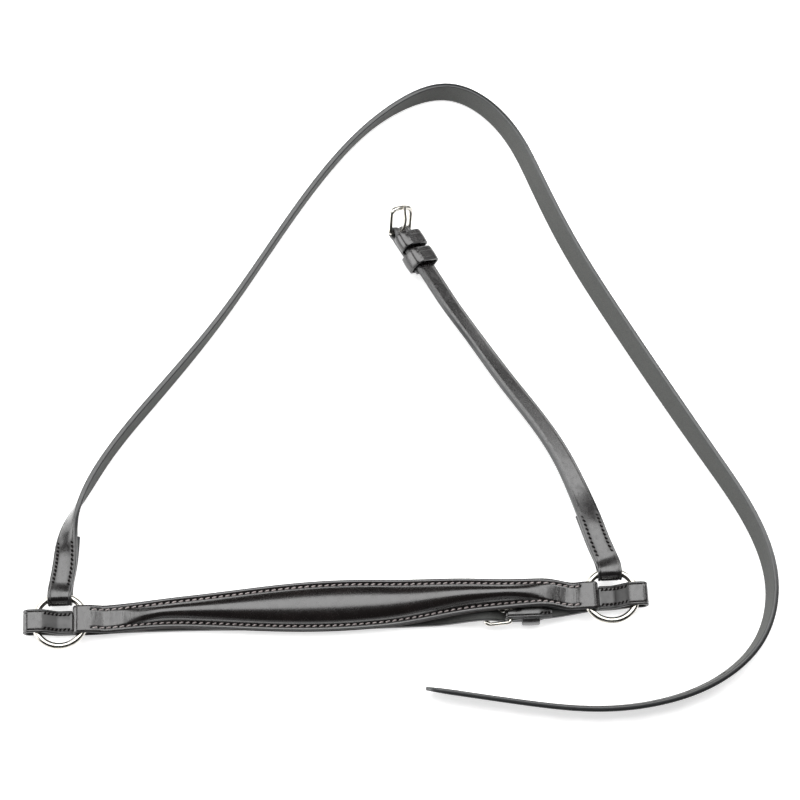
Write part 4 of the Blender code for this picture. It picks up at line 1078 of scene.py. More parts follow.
def punch_holes(blank, places, length, width):
    """Cut round-ended holes through a flat blank."""
    strip = bpy.data.meshes.new("flat_strip")
    blank.to_mesh(strip)
    blank.free()
    punch = bmesh.new()
    for place in places:
        made = bmesh.ops.create_cone(
            punch, cap_ends=True, segments=HOLE_SEGMENTS,
            radius1=width / 2, radius2=width / 2, depth=4 * STRAP_THICKNESS,
        )
        for vertex in made["verts"]:
            vertex.co.x += place + math.copysign((length - width) / 2, vertex.co.x)
    punch_mesh = bpy.data.meshes.new("hole_punch")
    punch.to_mesh(punch_mesh)
    punch.free()
    strip_object = add_object("flat_strip", strip)
    punch_object = add_object("hole_punch", punch_mesh)
    cut = strip_object.modifiers.new("holes", "BOOLEAN")
    cut.operation = "DIFFERENCE"
    cut.solver = "EXACT"
    cut.object = punch_object
    punched = finished_shape(strip_object, (punch_object,))
    bmesh.ops.triangulate(punched, faces=[face for face in punched.faces if len(face.verts) > 4])
    return punched


def flat_points(blank):
    """Return the flat x, y and z of every vertex of a blank."""
    return numpy.array([vertex.co for vertex in blank.verts]).T


def ramp(low, high, values):
    """Return 0 below low, 1 above high and a smooth rise between, for a table of values."""
    share = numpy.clip((values - low) / (high - low), 0.0, 1.0)
    return share * share * (3 - 2 * share)


def groove(values, middle, half_width):
    """Return 1 in the middle of a groove and 0 beyond its half width."""
    return 1 - ramp(0.0, half_width, numpy.abs(values - middle))


def mark_points(mesh, marks):
    """Store named values for every point of a mesh."""
    for name, values in marks.items():
        layer = mesh.attributes.new(name, "FLOAT", "POINT")
        layer.data.foreach_set("value", numpy.clip(values, 0.0, 1.0).astype(numpy.float32))


def strap_ribs():
    """Return where a strap is ribbed: by its creased lines, its sewn rows and evenly between."""
    crease = HALF_STRAP - CREASE_INSET
    thread = size_of("thread_width")
    right = [HALF_STRAP / 6, HALF_STRAP / 3, HALF_STRAP / 2]
    right += [SEWN_ROW - thread, SEWN_ROW, SEWN_ROW + thread, crease, crease + CREASE_SPREAD]
    return both_sides(right)


def sewn_shares(spans, x, y, fade, reach):
    """Return for each sewn span how close to its rows every flat point lies."""
    rows = groove(numpy.abs(y), SEWN_ROW, reach)
    return [ramp(start - fade, start, x) * (1 - ramp(end, end + fade, x)) * rows for start, end in spans]


def hole_rims(holes, x, y):
    """Return how close to a hole's rim every flat point lies."""
    rim = numpy.zeros_like(x)
    for places, length, width in holes:
        for place in places:
            run = numpy.maximum(numpy.abs(x - place) - (length - width) / 2, 0.0)
            near = 1 - ramp(width / 2, width / 2 + EDGE_ROUND, numpy.hypot(run, y))
            rim = numpy.maximum(rim, near)
    return rim


def strap_mesh(route, layer, spans, holes, tip_length, stain_and_shade_reach):
    """Bend one finished strap along its side view and its route."""
    blank = round_edged_blank(layer.marks, HALF_STRAP, STRAP_THICKNESS, EDGE_ROUND, strap_ribs())
    for places, length, width in holes:
        blank = punch_holes(blank, places, length, width)
    x, y, z = flat_points(blank)
    distances, heights, thicknesses, out_along, out_up = layer.sides(x)
    share = z / STRAP_THICKNESS
    grain = numpy.clip(share * 4, 0.0, 1.0)
    edge = ramp(HALF_STRAP - EDGE_ROUND, HALF_STRAP - EDGE_ROUND / 4, numpy.abs(y))
    rim = hole_rims(holes, x, y)
    thread = size_of("thread_width")
    pressed = CREASE_DEPTH * groove(numpy.abs(y), HALF_STRAP - CREASE_INSET, CREASE_SPREAD)
    pressed += SEWN_DEPTH_SHARE * thread * sum(sewn_shares(spans, x, y, EDGE_ROUND, thread))
    pressed += rim * EDGE_ROUND / 4
    offset = share * thicknesses - pressed * grain
    across = y.copy()
    if tip_length:
        tip = numpy.clip(1 - (layer.length - x) / tip_length, 0.0, 1.0)
        across *= numpy.sqrt(numpy.maximum(1 - (TIP_END_SHARE * tip) ** TIP_ROUND_POWER, 0.0))
        offset *= 1 - TIP_THINNING_SHARE * tip ** 2
    spots = route.places(distances + out_along * offset, across, heights + out_up * offset)
    mesh = bent_mesh(blank, spots)
    # Stain and painted shade: darker leather close to the sewn rows, out to the given reach across the
    # strap
    stain_and_shade = numpy.maximum.reduce(sewn_shares(spans, x, y, SEWN_INSET, stain_and_shade_reach))
    mark_points(mesh, {
        "flesh": ramp(*FLESH_SPAN, -share) * (1 - edge),
        "edge": numpy.maximum(edge, rim * ramp(-0.5, 0.1, -numpy.abs(share))),
        "worn": grain * numpy.maximum(ramp(HALF_STRAP * WORN_SHARE, HALF_STRAP, numpy.abs(y)), rim),
        "stain_and_shade": stain_and_shade * grain,
        "creased": (1 - ramp(0.0, RING_CREASE_REACH, distances)) * RING_CREASE_SHARE,
    })
    return mesh


class Sewing:
    """The threads of one strap and the painted shade of its awl holes."""

    def __init__(self, route, layer, hole_length):
        self.route = route
        self.layer = layer
        self.hole_length = hole_length
        self.threads = bmesh.new()
        self.holes = bmesh.new()

    def frame(self, place, across, sink=STITCH_SINK):
        """Return a matrix on the strap's face: X along it, Z out of it, at a flat place."""
        step = CHAPE_STEP / 4
        places = numpy.array([place - step, place, place + step])
        distances, heights, thicknesses, out_along, out_up = self.layer.sides(places)
        offset = thicknesses / 2 - sink
        sides = (numpy.full(3, across), heights + out_up * offset)
        spots = self.route.places(distances + out_along * offset, *sides)
        before, middle, after = [Vector(spot) for spot in spots]
        along = (after - before).normalized()
        kept = numpy.clip(distances[-1:], 0.0, self.route.length)
        sideways = Vector(unit_rows(self.route.rows_at(self.route.across, kept))[0])
        outward = along.cross(sideways).normalized()
        turn = Matrix((along, outward.cross(along), outward)).transposed().to_4x4()
        return Matrix.Translation(middle) @ turn

    def add_stitch(self, matrix, length, slant):
        """Add one sunk stitch: a short bent capsule, turned by its slant."""
        width = size_of("thread_width")
        made = bmesh.ops.create_uvsphere(self.threads, u_segments=8, v_segments=6, radius=1.0)
        turn = Matrix.Rotation(math.pi / 2, 4, "Y")
        place = matrix @ Matrix.Rotation(slant, 4, "Z")
        for vertex in made["verts"]:
            along, across, up = turn @ vertex.co
            fuller = math.copysign(abs(along) ** STITCH_FULLNESS, along)
            rise = (up * STITCH_HEIGHT_SHARE - along * along * STITCH_BEND_SHARE) * width
            vertex.co = place @ Vector((fuller * length / 2, across * width / 2, rise))

    def add_hole_shade(self, matrix, slant):
        """Add the painted shade of one awl hole: a dark, flat slanted lens on the leather."""
        made = bmesh.ops.create_uvsphere(self.holes, u_segments=8, v_segments=4, radius=1.0)
        place = matrix @ Matrix.Rotation(slant * HOLE_TURN_SHARE, 4, "Z")
        size = Vector((0.5, HOLE_WIDTH_SHARE, HOLE_HEIGHT_SHARE)) * self.hole_length
        for vertex in made["verts"]:
            vertex.co = place @ (vertex.co * size)

    def row(self, matrices, slant, share=STITCH_SHARE):
        """Sew through a row of frames, one at each awl hole."""
        for matrix in matrices:
            self.add_hole_shade(matrix, slant)
        for first, second in zip(matrices, matrices[1:]):
            length = (second.translation - first.translation).length
            self.add_stitch(first.lerp(second, 0.5), length * share, slant)

    def lap(self, start, end, count):
        """Sew both rows of one flat span."""
        places = even_places(start, end, count)
        for across in (-SEWN_ROW, SEWN_ROW):
            self.row([self.frame(place, across) for place in places], STITCH_SLANT)

    def cross(self, place, count, slant):
        """Sew one row across the strap at a flat place."""
        turn = Matrix.Rotation(math.pi / 2, 4, "Z")
        rows = even_places(-SEWN_ROW, SEWN_ROW, count)
        self.row([self.frame(place, row) @ turn for row in rows], slant)

    def finish(self, name, body, slot="black_leather", thread=waxed_thread):
        add_piece(name + "_stitches", mesh_of(self.threads), body, thread)
        # The hole lenses are painted shade: dark flat pieces where the awl holes are
        add_piece(name + "_stitch_holes", mesh_of(self.holes), body, painted_hole_shade)


def lap_places(layer, near, far, strap_length=None):
    """Return the flat spans of a lap's turned part and of the strap over it.

    near and far are distances from the fold. For a lap at the strap's far end
    the strap's length is given too.
    """
    distances = layer.rows[:, 0]
    if strap_length is None:
        fold = int(numpy.argmin(distances))
        parts = (slice(0, fold + 1), slice(fold, None))
        reach = [near, far]
    else:
        fold = int(numpy.argmax(distances))
        parts = (slice(fold, None), slice(0, fold + 1))
        reach = [strap_length - far, strap_length - near]
    spans = []
    for part in parts:
        order = numpy.argsort(distances[part], kind="stable")
        ends = numpy.interp(reach, distances[part][order], layer.marks[part][order])
        spans.append((float(min(ends)), float(max(ends))))
    return spans


def add_strap(name, body, route, layer, laps, holes, tip_length=0.0, stain_and_shade_reach=SEWN_INSET):
    """Make a strap, sew its laps, each given with its count, and return its sewing."""
    mesh = strap_mesh(route, layer, [span for span, _ in laps], holes, tip_length, stain_and_shade_reach)
    add_piece(name + "_leather", mesh, body, strap_leather, (name,))
    sewing = Sewing(route, layer, LAP_HOLE_LENGTH)
    for span, count in laps:
        sewing.lap(*span, count)
    return sewing


def buckle_layer(route, ring_rows, keeper_start, lap):
    """Return the side view of a strap with a ring at one end and a buckle at the other."""
    rows = chape_rows(bar_levels(keeper_start), BAR_FIT, lap, STRAP_THICKNESS, TURN_THICKNESS)
    end_rows = mirrored_rows(rows, route.length)
    return joined_layer(ring_rows, end_rows, route.length, STRAP_THICKNESS, STATION_STEP)


def buckle_laps(route, layer, keeper_start, far):
    """Return the flat spans sewn behind a buckle's fixed keeper."""
    near = keeper_start + KEEPER_LENGTH + CLEARANCE + KEEPER_SEWN_ROOM
    return lap_places(layer, near, far, route.length)


def tongue_slot(layer):
    """Return the slot cut for the tongue, over the fold."""
    fold = int(numpy.argmax(layer.rows[:, 0]))
    fold_length = math.pi * (BAR_FIT + TURN_THICKNESS / 2)
    return ([float(layer.marks[fold])], fold_length + 2 * TONGUE_SLOT_REACH, TONGUE_SLOT_WIDTH)


def head_pieces():
    """Make the long strap, its lap and its stitching."""
    route = head_route()
    layer = joined_layer(swing_chape(HEAD_LAP), [], route.length, STRAP_THICKNESS, STATION_STEP)
    laps = [(span, HEAD_STITCHES) for span in lap_places(layer, HEAD_SEWN_NEAR, HEAD_SEWN_FAR)]
    first = layer.length - HEAD_HOLE_FROM_TIP
    places = [first - HEAD_HOLE_PITCH * index for index in range(HEAD_HOLE_COUNT)]
    holes = [(places, HEAD_HOLE_LENGTH, HOLE_WIDTH)]
    sewing = add_strap("head_strap", "head_strap", route, layer, laps, holes, HEAD_TIP_LENGTH)
    sewing.finish("head_strap", "head_strap")


def cheek_pieces():
    """Make the cheek strap and its stitching at the ring and behind the runner."""
    route = cheek_route()
    layer = buckle_layer(route, swing_chape(CHEEK_LAP), CHEEK_KEEPER_START, CHEEK_BUCKLE_LAP)
    laps = [(span, CHEEK_STITCHES) for span in lap_places(layer, CHEEK_SEWN_NEAR, CHEEK_SEWN_FAR)]
    far = CHEEK_BUCKLE_LAP - CHEEK_BUCKLE_SEWN_BACK
    spans = buckle_laps(route, layer, CHEEK_KEEPER_START, far)
    laps += [(span, CHEEK_BUCKLE_STITCHES) for span in spans]
    sewing = add_strap("cheek_strap", "cheek_strap", route, layer, laps, [tongue_slot(layer)])
    for back, slant in zip(CHEEK_CROSSED_BACKS, (CROSS_SLANT, -CROSS_SLANT)):
        turned, over = buckle_laps(route, layer, CHEEK_KEEPER_START, CHEEK_BUCKLE_LAP - back)
        for place in (turned[1], over[0]):
            sewing.cross(place, CHEEK_CROSSED_STITCHES, slant)
    sewing.finish("cheek_strap", "cheek_strap")


def chin_laps(layer):
    """Return the sewn spans of a chin strap's lap on its ring."""
    near = STRAP_SAG + CHIN_FOLD_PLAY + CHIN_SEWN_NEAR
    far = CHIN_FOLD_REACH + NOSE_FOLD_REACH - CHIN_END_ROOM - CHIN_SEWN_BACK
    return [(span, CHIN_STITCHES) for span in lap_places(layer, near, far)]


def chin_strap_pieces():
    """Make the holed half of the chin strap and its stitching."""
    route = chin_strap_route()
    layer = joined_layer(chin_ring_chape(), [], route.length, STRAP_THICKNESS, STATION_STEP / 2)
    pierced = numpy.interp(CHIN_BAR_PLACE - CHIN_HOLE_FROM_BAR, route.points[:, 0], route.marks)
    used = layer.mark_of(float(pierced), -STRAP_THICKNESS)
    indices = range(-CHIN_HOLES_BEFORE, CHIN_HOLES_AFTER + 1)
    places = [used + CHIN_HOLE_PITCH * index for index in indices]
    holes = [(places, CHIN_HOLE_LENGTH, HOLE_WIDTH)]
    finish = (CHIN_TIP_LENGTH, STRAP_WIDTH)
    sewing = add_strap("chin_strap", "nosepiece", route, layer, chin_laps(layer), holes, *finish)
    sewing.finish("chin_strap", "nosepiece")


def chin_buckle_pieces():
    """Make the buckle's half of the chin strap and its stitching."""
    name = "chin_buckle_strap"
    route = chin_buckle_route()
    layer = buckle_layer(route, chin_ring_chape(), CHIN_KEEPER_START, CHIN_BUCKLE_LAP)
    far = CHIN_BUCKLE_LAP - CHIN_BUCKLE_SEWN_BACK
    turned, over = buckle_laps(route, layer, CHIN_KEEPER_START, far)
    laps = chin_laps(layer) + [(turned, CHIN_BUCKLE_STITCHES), (over, CHIN_BUCKLE_STITCHES)]
    slot = [tongue_slot(layer)]
    # Painted shade: the stain and shade darkening covers the whole width of the sewn spans here,
    # standing in for the shade on this strap
    sewing = add_strap(name, "nosepiece", route, layer, laps, slot, stain_and_shade_reach=STRAP_WIDTH)
    for place in (turned[1], over[0]):
        sewing.cross(place, CHIN_CROSSED_STITCHES, CROSS_SLANT / 2)
    sewing.finish(name, "nosepiece")


def nose_layer(route):
    """Return the side view of the face leather, turned in at both ends."""
    wire_axis = OFF_RING_HEIGHT - (NOSE_LEVEL + LINING_THICKNESS + SEAM_GAP + FACE_THICKNESS / 2)
    reach = RING_PITCH_RADIUS - NOSE_WIRE_REACH + NOSE_FOLD_PLAY
    levels = ring_levels(reach, WIRE_FIT, wire_axis, NOSE_TAPER, FACE_THICKNESS)
    rows = chape_rows(levels, WIRE_FIT, NOSE_LAP, FACE_THICKNESS, LINING_THICKNESS)
    far_rows = mirrored_rows(rows, route.length)
    return joined_layer(rows, far_rows, route.length, FACE_THICKNESS, NOSE_STATION)


def half_widths(x):
    """Return half the nosepiece's width at a table of places."""
    return numpy.array([nose_half_width(value) for value in x])


def pad_crown(x, share):
    """Return the height of the padding at places along and shares of its half width."""
    taper = numpy.array([1 - eased(PAD_REACH - PAD_END_TAPER, PAD_REACH, abs(value)) for value in x])
    crown = numpy.clip(1 - numpy.abs(share) ** 2, 0.0, 1.0) ** CROWN_POWER
    return PAD_THICKNESS * taper * crown


def seam_pull(x):
    """Return how deep the stitches pull the face down at places along it."""
    return NOSE_PULL_DEPTH * (1 - ramp(NOSE_PULL_START, NOSE_PULL_END, numpy.abs(x)))


def creased_share(x):
    """Return how far the face is creased: most where the padding ends."""
    return sum(numpy.exp(-((x - middle) / reach) ** 2) for middle, reach in CREASED_SPOTS)


def wrinkles(x, share):
    """Return small crossways folds where the padding ends."""
    swing = numpy.sin(x * WRINKLE_WAVES + share * 0.8 + 0.9 * numpy.sin(x * WRINKLE_WANDER))
    flatter = (1 - 0.5 * share ** 2).clip(0.0, 1.0)
    return size_of("wrinkle_depth") * creased_share(x) * swing * flatter


def nose_pieces():
    """Make the nosepiece: face leather, padding, lining and the stitching round it."""
    route = nose_route()
    layer = nose_layer(route)
    start = route.points[0][0]
    nose_face_piece(route, layer, start)
    nose_padding_piece(route, start)
    nose_lining_piece(route, start)
    nose_stitches(route, layer, start)


def nose_face_piece(route, layer, start):
    """Make the face leather, raised over the padding and pulled down along its seams.

    Its blank is 4 wide: 1 to each side of the middle is over the padding, and
    from there to 2 is the margin.
    """
    ribs = even_places(-NOSE_OUTER_RIB, NOSE_OUTER_RIB, NOSE_RIBS) + [-1.0, 1.0]
    blank = round_edged_blank(layer.marks, 2.0, 1.0, 0.0, sorted(ribs))
    x, share, z = flat_points(blank)
    distances, heights, thicknesses, out_along, out_up = layer.sides(x)
    places = start + distances
    size = numpy.abs(share)
    half = half_widths(places)
    pad_half = half - PAD_MARGIN
    across = numpy.where(size <= 1, pad_half * size, pad_half + (half - pad_half) * (size - 1))
    raised = numpy.clip(across / (half - NOSE_SEWN_INSET - NOSE_SEWN_ROOM), 0.0, 1.0)
    from_edge = half - across
    edge = 1 - ramp(0.0, EDGE_ROUND, from_edge)
    offset = z * thicknesses * (1 - NOSE_EDGE_THINNING_SHARE * edge)
    main = out_up > NOSE_UPWARD_SHARE
    on_top = numpy.where((z > 0) & main, 1.0, 0.0)
    sewn = groove(from_edge, NOSE_SEWN_INSET, NOSE_SEWN_SPREAD)
    from_end = numpy.minimum(distances, route.length - distances)
    sewn = sewn * ramp(NOSE_SEWN_FADE, NOSE_SEWN_START, from_end)
    reach = numpy.where(from_edge > NOSE_SEWN_INSET, NOSE_PULL_INNER, NOSE_PULL_OUTER)
    pulled = numpy.clip(1 - numpy.abs(from_edge - NOSE_SEWN_INSET) / reach, 0.0, 1.0)
    lowered = on_top * sewn * size_of("thread_width") * 0.5 + on_top * pulled * seam_pull(places)
    lift = numpy.where(main, pad_crown(places, raised), 0.0) + on_top * wrinkles(places, share)
    raised_heights = heights + lift + out_up * offset - lowered
    spots = route.places(distances + out_along * offset, numpy.copysign(across, share), raised_heights)
    mesh = bent_mesh(blank, spots)
    mark_points(mesh, {
        "flesh": numpy.where(z < 0, 1.0, 0.0) * (1 - edge),
        "edge": edge,
        "worn": edge,
        # Stain and painted shade along the sewn grooves of the face
        "stain_and_shade": sewn * on_top * NOSE_STAIN_AND_SHADE_SHARE,
        "creased": creased_share(places) * on_top,
    })
    solids = ("nosepiece_face",)
    add_piece("nosepiece_face_leather", mesh, "nosepiece", nosepiece_grain, solids)


def nose_padding_piece(route, start):
    """Make the felt filling under the face."""
    reach = PAD_REACH - PAD_END_TAPER / 3
    marks = numpy.array(spread(-reach, reach, NOSE_STATION))
    ribs = even_places(-PAD_OUTER_RIB, PAD_OUTER_RIB, PAD_RIBS)
    blank = round_edged_blank(marks, PAD_EDGE, 1.0, 0.0, ribs)
    x, share, z = flat_points(blank)
    top = pad_crown(x, share) - FACE_THICKNESS / 2 - PAD_LOOSENESS
    base = numpy.full_like(x, PAD_LOOSENESS - FACE_THICKNESS / 2 - SEAM_GAP)
    heights = numpy.where(z > 0, numpy.maximum(top, base + PAD_LOOSENESS), base)
    mesh = bent_mesh(blank, route.places(x - start, share * (half_widths(x) - PAD_MARGIN), heights))
    solids = ("nosepiece_padding",)
    piece = add_piece("nosepiece_felt", mesh, "nosepiece", padding_felt, solids)


def nose_lining_piece(route, start):
    """Make the lining with its rounded edges."""
    first = NOSE_LAP + CLEARANCE
    marks = numpy.array(spread(first, route.length - first, NOSE_STATION))
    ribs = both_sides([0.5, 1 - LINING_INSET_SHARE])
    blank = round_edged_blank(marks, 1.0, 1.0, 0.0, ribs)
    x, share, z = flat_points(blank)
    level = -(FACE_THICKNESS / 2 + SEAM_GAP + LINING_THICKNESS / 2)
    rounding = ramp(1 - LINING_INSET_SHARE, 1.0, numpy.abs(share))
    heights = level + z * LINING_THICKNESS * (1 - LINING_THINNING_SHARE * rounding)
    mesh = bent_mesh(blank, route.places(x, share * half_widths(start + x), heights))
    solids = ("nosepiece_lining",)
    add_piece("nosepiece_lining_leather", mesh, "nosepiece", soft_lining, solids)


def nose_stitches(route, layer, start):
    """Sew both edges of the nosepiece from ring to ring, seen above and below."""
    ends = (NOSE_SEWN_START, route.length - NOSE_SEWN_START)
    below = -(FACE_THICKNESS / 2 + SEAM_GAP + LINING_THICKNESS)
    turn = Matrix.Rotation(math.pi, 4, "X")
    sewing = Sewing(route, layer, NOSE_HOLE_LENGTH)
    for side in (-1, 1):
        above_frames = []
        below_frames = []
        for place in spread(*ends, size_of("nose_stitch_pitch")):
            row = side * (nose_half_width(start + place) - NOSE_SEWN_INSET)
            mark = float(numpy.interp(place, *main_marks(layer)))
            sunk = float(seam_pull(start + place)) * NOSE_STITCH_PULL_SHARE + NOSE_STITCH_SINK
            above_frames.append(sewing.frame(mark, row, sunk))
            matrix = route.frame(place, below + NOSE_STITCH_BELOW) @ Matrix.Translation((0.0, row, 0.0))
            below_frames.append(matrix @ turn)
        sewing.row(above_frames, NOSE_STITCH_SLANT, NOSE_STITCH_SHARE)
        sewing.row(below_frames, -NOSE_STITCH_SLANT)
    sewing.finish("nosepiece", "nosepiece", "face_leather", pale_thread_with_painted_glint)


def main_marks(layer):
    """Return distances and flat marks of the run between a layer's two folds."""
    low = int(numpy.argmin(layer.rows[:, 0]))
    high = int(numpy.argmax(layer.rows[:, 0]))
    return layer.rows[low:high + 1, 0], layer.marks[low:high + 1]


def ring_mesh(centre):
    """Spin a round wire into a ring."""
    shape = bmesh.new()
    made = bmesh.ops.create_circle(shape, segments=WIRE_AROUND, radius=RING_WIRE_RADIUS)
    turn = Matrix.Translation((RING_PITCH_RADIUS, 0.0, 0.0)) @ Matrix.Rotation(math.pi / 2, 4, "X")
    bmesh.ops.transform(shape, matrix=turn, verts=made["verts"])
    bmesh.ops.spin(
        shape, geom=shape.edges[:], cent=(0.0, 0.0, 0.0), axis=(0.0, 0.0, 1.0),
        angle=2 * math.pi, steps=RING_AROUND, use_merge=True,
    )
    bmesh.ops.remove_doubles(shape, verts=shape.verts, dist=CLEARANCE / 30)
    bmesh.ops.recalc_face_normals(shape, faces=shape.faces)
    bmesh.ops.translate(shape, vec=centre, verts=shape.verts)
    return mesh_of(shape)


def ring_pieces():
    """Make both rings."""
    for name, centre in (("off_ring", OFF_RING_CENTRE), ("near_ring", NEAR_RING_CENTRE)):
        add_piece(name + "_steel", ring_mesh(centre), name, polished_steel, (name,))


def rounded_path(corners, radii):
    """Return an open path through corners, each rounded by an arc of its radius."""
    path = [Vector(corners[0])]
    for index in range(1, len(corners) - 1):
        corner = Vector(corners[index])
        before = (Vector(corners[index - 1]) - corner).normalized()
        after = (Vector(corners[index + 1]) - corner).normalized()
        radius = radii[index]
        half_angle = before.angle(after) / 2
        centre = corner + (before + after).normalized() * radius / math.sin(half_angle)
        start = corner + before * radius / math.tan(half_angle) - centre
        end = corner + after * radius / math.tan(half_angle) - centre
        turned = start.angle(end)
        for step in range(CORNER_STEPS + 1):
            late = math.sin(turned * step / CORNER_STEPS) / math.sin(turned)
            early = math.sin(turned * (CORNER_STEPS - step) / CORNER_STEPS) / math.sin(turned)
            path.append(centre + start * early + end * late)
    path.append(Vector(corners[-1]))
    return path


def filled_path(path, gap):
    """Return a path with points filled in about every gap."""
    filled = [path[0]]
    for first, second in zip(path, path[1:]):
        steps = max(1, round((second - first).length / gap))
        filled += [first.lerp(second, step / steps) for step in range(1, steps + 1)]
    return filled


def runner_depth():
    """Return how far below the strap's middle the runner's inner face lies."""
    return STRAP_THICKNESS / 2 + KEEPER_SLOT + TURN_THICKNESS + CLEARANCE


def keeper_top():
    """Return the height of the middle of a keeper's outer wall above the strap's middle."""
    return STRAP_THICKNESS / 2 + 2 * CLEARANCE + STRAP_THICKNESS + KEEPER_THICKNESS / 2


def keeper_corners(sewn):
    """Return a keeper's corners, from tab to tab where it is sewn in, or butted at its back."""
    side = HALF_STRAP + CLEARANCE + KEEPER_THICKNESS / 2
    end = side - KEEPER_TAB_LENGTH if sewn else SEAM_GAP / 2
    low = -(STRAP_THICKNESS + KEEPER_SLOT) / 2 if sewn else -(runner_depth() + KEEPER_THICKNESS / 2)
    right = ((end, low), (side, low), (side, keeper_top()))
    return (*right, *[(-across, height) for across, height in reversed(right)])


def keeper_mesh(route, start, length, sewn):
    """Bend a finished keeper band round the strap, with two lines pressed across its top."""
    corners = keeper_corners(sewn)
    low = corners[0][1]
    side, top = corners[2]
    radii = [KEEPER_TOP_RADIUS if height == top else KEEPER_CORNER_RADIUS for _, height in corners]
    rows = []
    for point in filled_path(rounded_path([(0.0, *corner) for corner in corners], radii), KEEPER_STEP):
        wall = eased(side * KEEPER_SIDE_SHARE, side, abs(point.y))
        wall *= math.sin(math.pi * (point.z - low) / (top - low))
        rows.append((point.y + math.copysign(KEEPER_SIDE_BULGE * wall, point.y), point.z, 1.0))
    layer = Layer(rows)
    line = length * KEEPER_LINE_SHARE
    ribs = both_sides([line / 2, line - KEEPER_RIB, line, line + KEEPER_RIB])
    blank = round_edged_blank(layer.marks, length / 2, KEEPER_THICKNESS, KEEPER_EDGE_ROUND, ribs)
    x, y, z = flat_points(blank)
    across, heights, _, out_across, out_up = layer.sides(x)
    thickness = KEEPER_THICKNESS
    if sewn:
        near_end = numpy.minimum(x, layer.length - x)
        tab_share = 1 - ramp(KEEPER_TAB_LENGTH - KEEPER_THICKNESS, KEEPER_TAB_LENGTH, near_end)
        thickness = mixed(KEEPER_THICKNESS, KEEPER_TAB_THICKNESS, tab_share)
    share = z / KEEPER_THICKNESS
    out_sign = -1.0 if (out_across * across + out_up * heights).sum() < 0 else 1.0
    over = 1 - ramp(side * KEEPER_LINE_FADE_SHARE, side, numpy.abs(across))
    over = over * numpy.where(heights > 0, 1.0, 0.0)
    pressed = groove(numpy.abs(y), line, KEEPER_LINE_SPREAD) * KEEPER_LINE_DEPTH * over
    pressed = pressed - KEEPER_BULGE * (1 - (2 * y / length) ** 2)
    offset = share * thickness * out_sign - numpy.where(share > 0, pressed * out_sign, 0.0)
    sides = (across + out_across * offset, heights + out_up * offset)
    mesh = bent_mesh(blank, route.places(start + length / 2 + y, *sides))
    edge = ramp(length / 2 - KEEPER_EDGE_REACH, length / 2 - KEEPER_EDGE_END, numpy.abs(y))
    mark_points(mesh, {
        "flesh": numpy.where(share < -KEEPER_FLESH_SHARE, 1.0, 0.0) * (1 - edge),
        "edge": edge,
        "worn": groove(numpy.abs(y), line, KEEPER_LINE_WORN),
    })
    return mesh


def keeper_pieces():
    """Make the cheek strap's fixed keeper and runner and the chin strap's keeper."""
    cheek = cheek_route()
    chin = chin_buckle_route()
    cheek_start = cheek.length - CHEEK_KEEPER_START - KEEPER_LENGTH
    runner_start = cheek_start - (CHEEK_RUNNER_GAP + RUNNER_LENGTH)
    chin_start = chin.length - CHIN_KEEPER_START - KEEPER_LENGTH
    fixed = keeper_mesh(cheek, cheek_start, KEEPER_LENGTH, True)
    runner = keeper_mesh(cheek, runner_start, RUNNER_LENGTH, False)
    chin_keeper = keeper_mesh(chin, chin_start, KEEPER_LENGTH, True)
    for name, mesh, body, solid in (
        ("cheek_fixed_keeper_leather", fixed, "cheek_strap", "cheek_fixed_keeper"),
        ("cheek_runner_leather", runner, "cheek_runner", "cheek_runner_keeper"),
        ("chin_keeper_leather", chin_keeper, "nosepiece", "chin_fixed_keeper"),
    ):
        add_piece(name, mesh, body, keeper_leather, (solid,))


def softened(points):
    """Return a path with its corners cut again and again, its ends kept."""
    for _ in range(TONGUE_SOFTENINGS):
        cut = [points[0]]
        for first, second in zip(points, points[1:]):
            cut.append(first.lerp(second, CORNER_CUT))
            cut.append(first.lerp(second, 1 - CORNER_CUT))
        cut.append(points[-1])
        points = cut
    return points


def swept_wire(points, radii, cyclic, matrix):
    """Make a round wire through points with a radius at each, as a closed mesh."""
    curve = bpy.data.curves.new("wire", "CURVE")
    curve.dimensions = "3D"
    curve.bevel_depth = 1.0
    curve.bevel_resolution = 6
    curve.use_fill_caps = not cyclic
    wire = curve.splines.new("POLY")
    wire.points.add(len(points) - 1)
    wire.use_cyclic_u = cyclic
    for spot, point, radius in zip(wire.points, points, radii):
        spot.co = (*point, 1.0)
        spot.radius = radius
    welded = finished_shape(add_object("wire", curve))
    bmesh.ops.remove_doubles(welded, verts=welded.verts, dist=CLEARANCE / 60)
    bmesh.ops.transform(welded, matrix=matrix, verts=welded.verts)
    return mesh_of(welded)


def frame_path():
    """Return the buckle frame's points and wire sizes: X towards the end bar, Y along the bar."""
    side = HALF_STRAP + FRAME_SIDE_ROOM + LEG_RADIUS
    corners = (
        (0.0, 0.0, 0.0), (0.0, side, 0.0), (FRAME_LENGTH, side, 0.0),
        (FRAME_LENGTH, -side, 0.0), (0.0, -side, 0.0), (0.0, 0.0, 0.0),
    )
    radii = (0.0, FRAME_BAR_CORNER, FRAME_CORNER_RADIUS, FRAME_CORNER_RADIUS, FRAME_BAR_CORNER, 0.0)
    points = []
    sizes = []
    for point in filled_path(rounded_path(corners, radii), WIRE_STEP)[:-1]:
        share = eased(FRAME_LENGTH - FRAME_CORNER_RADIUS, FRAME_LENGTH, point.x)
        bow = share * FRAME_END_BOW * (1 - (point.y / side) ** 2)
        points.append(Vector((point.x + bow, point.y, point.z)))
        leg_share = eased(0.0, FRAME_BAR_CORNER, point.x)
        sizes.append(mixed(mixed(BAR_RADIUS, LEG_RADIUS, leg_share), END_BAR_RADIUS, share))
    return points, sizes


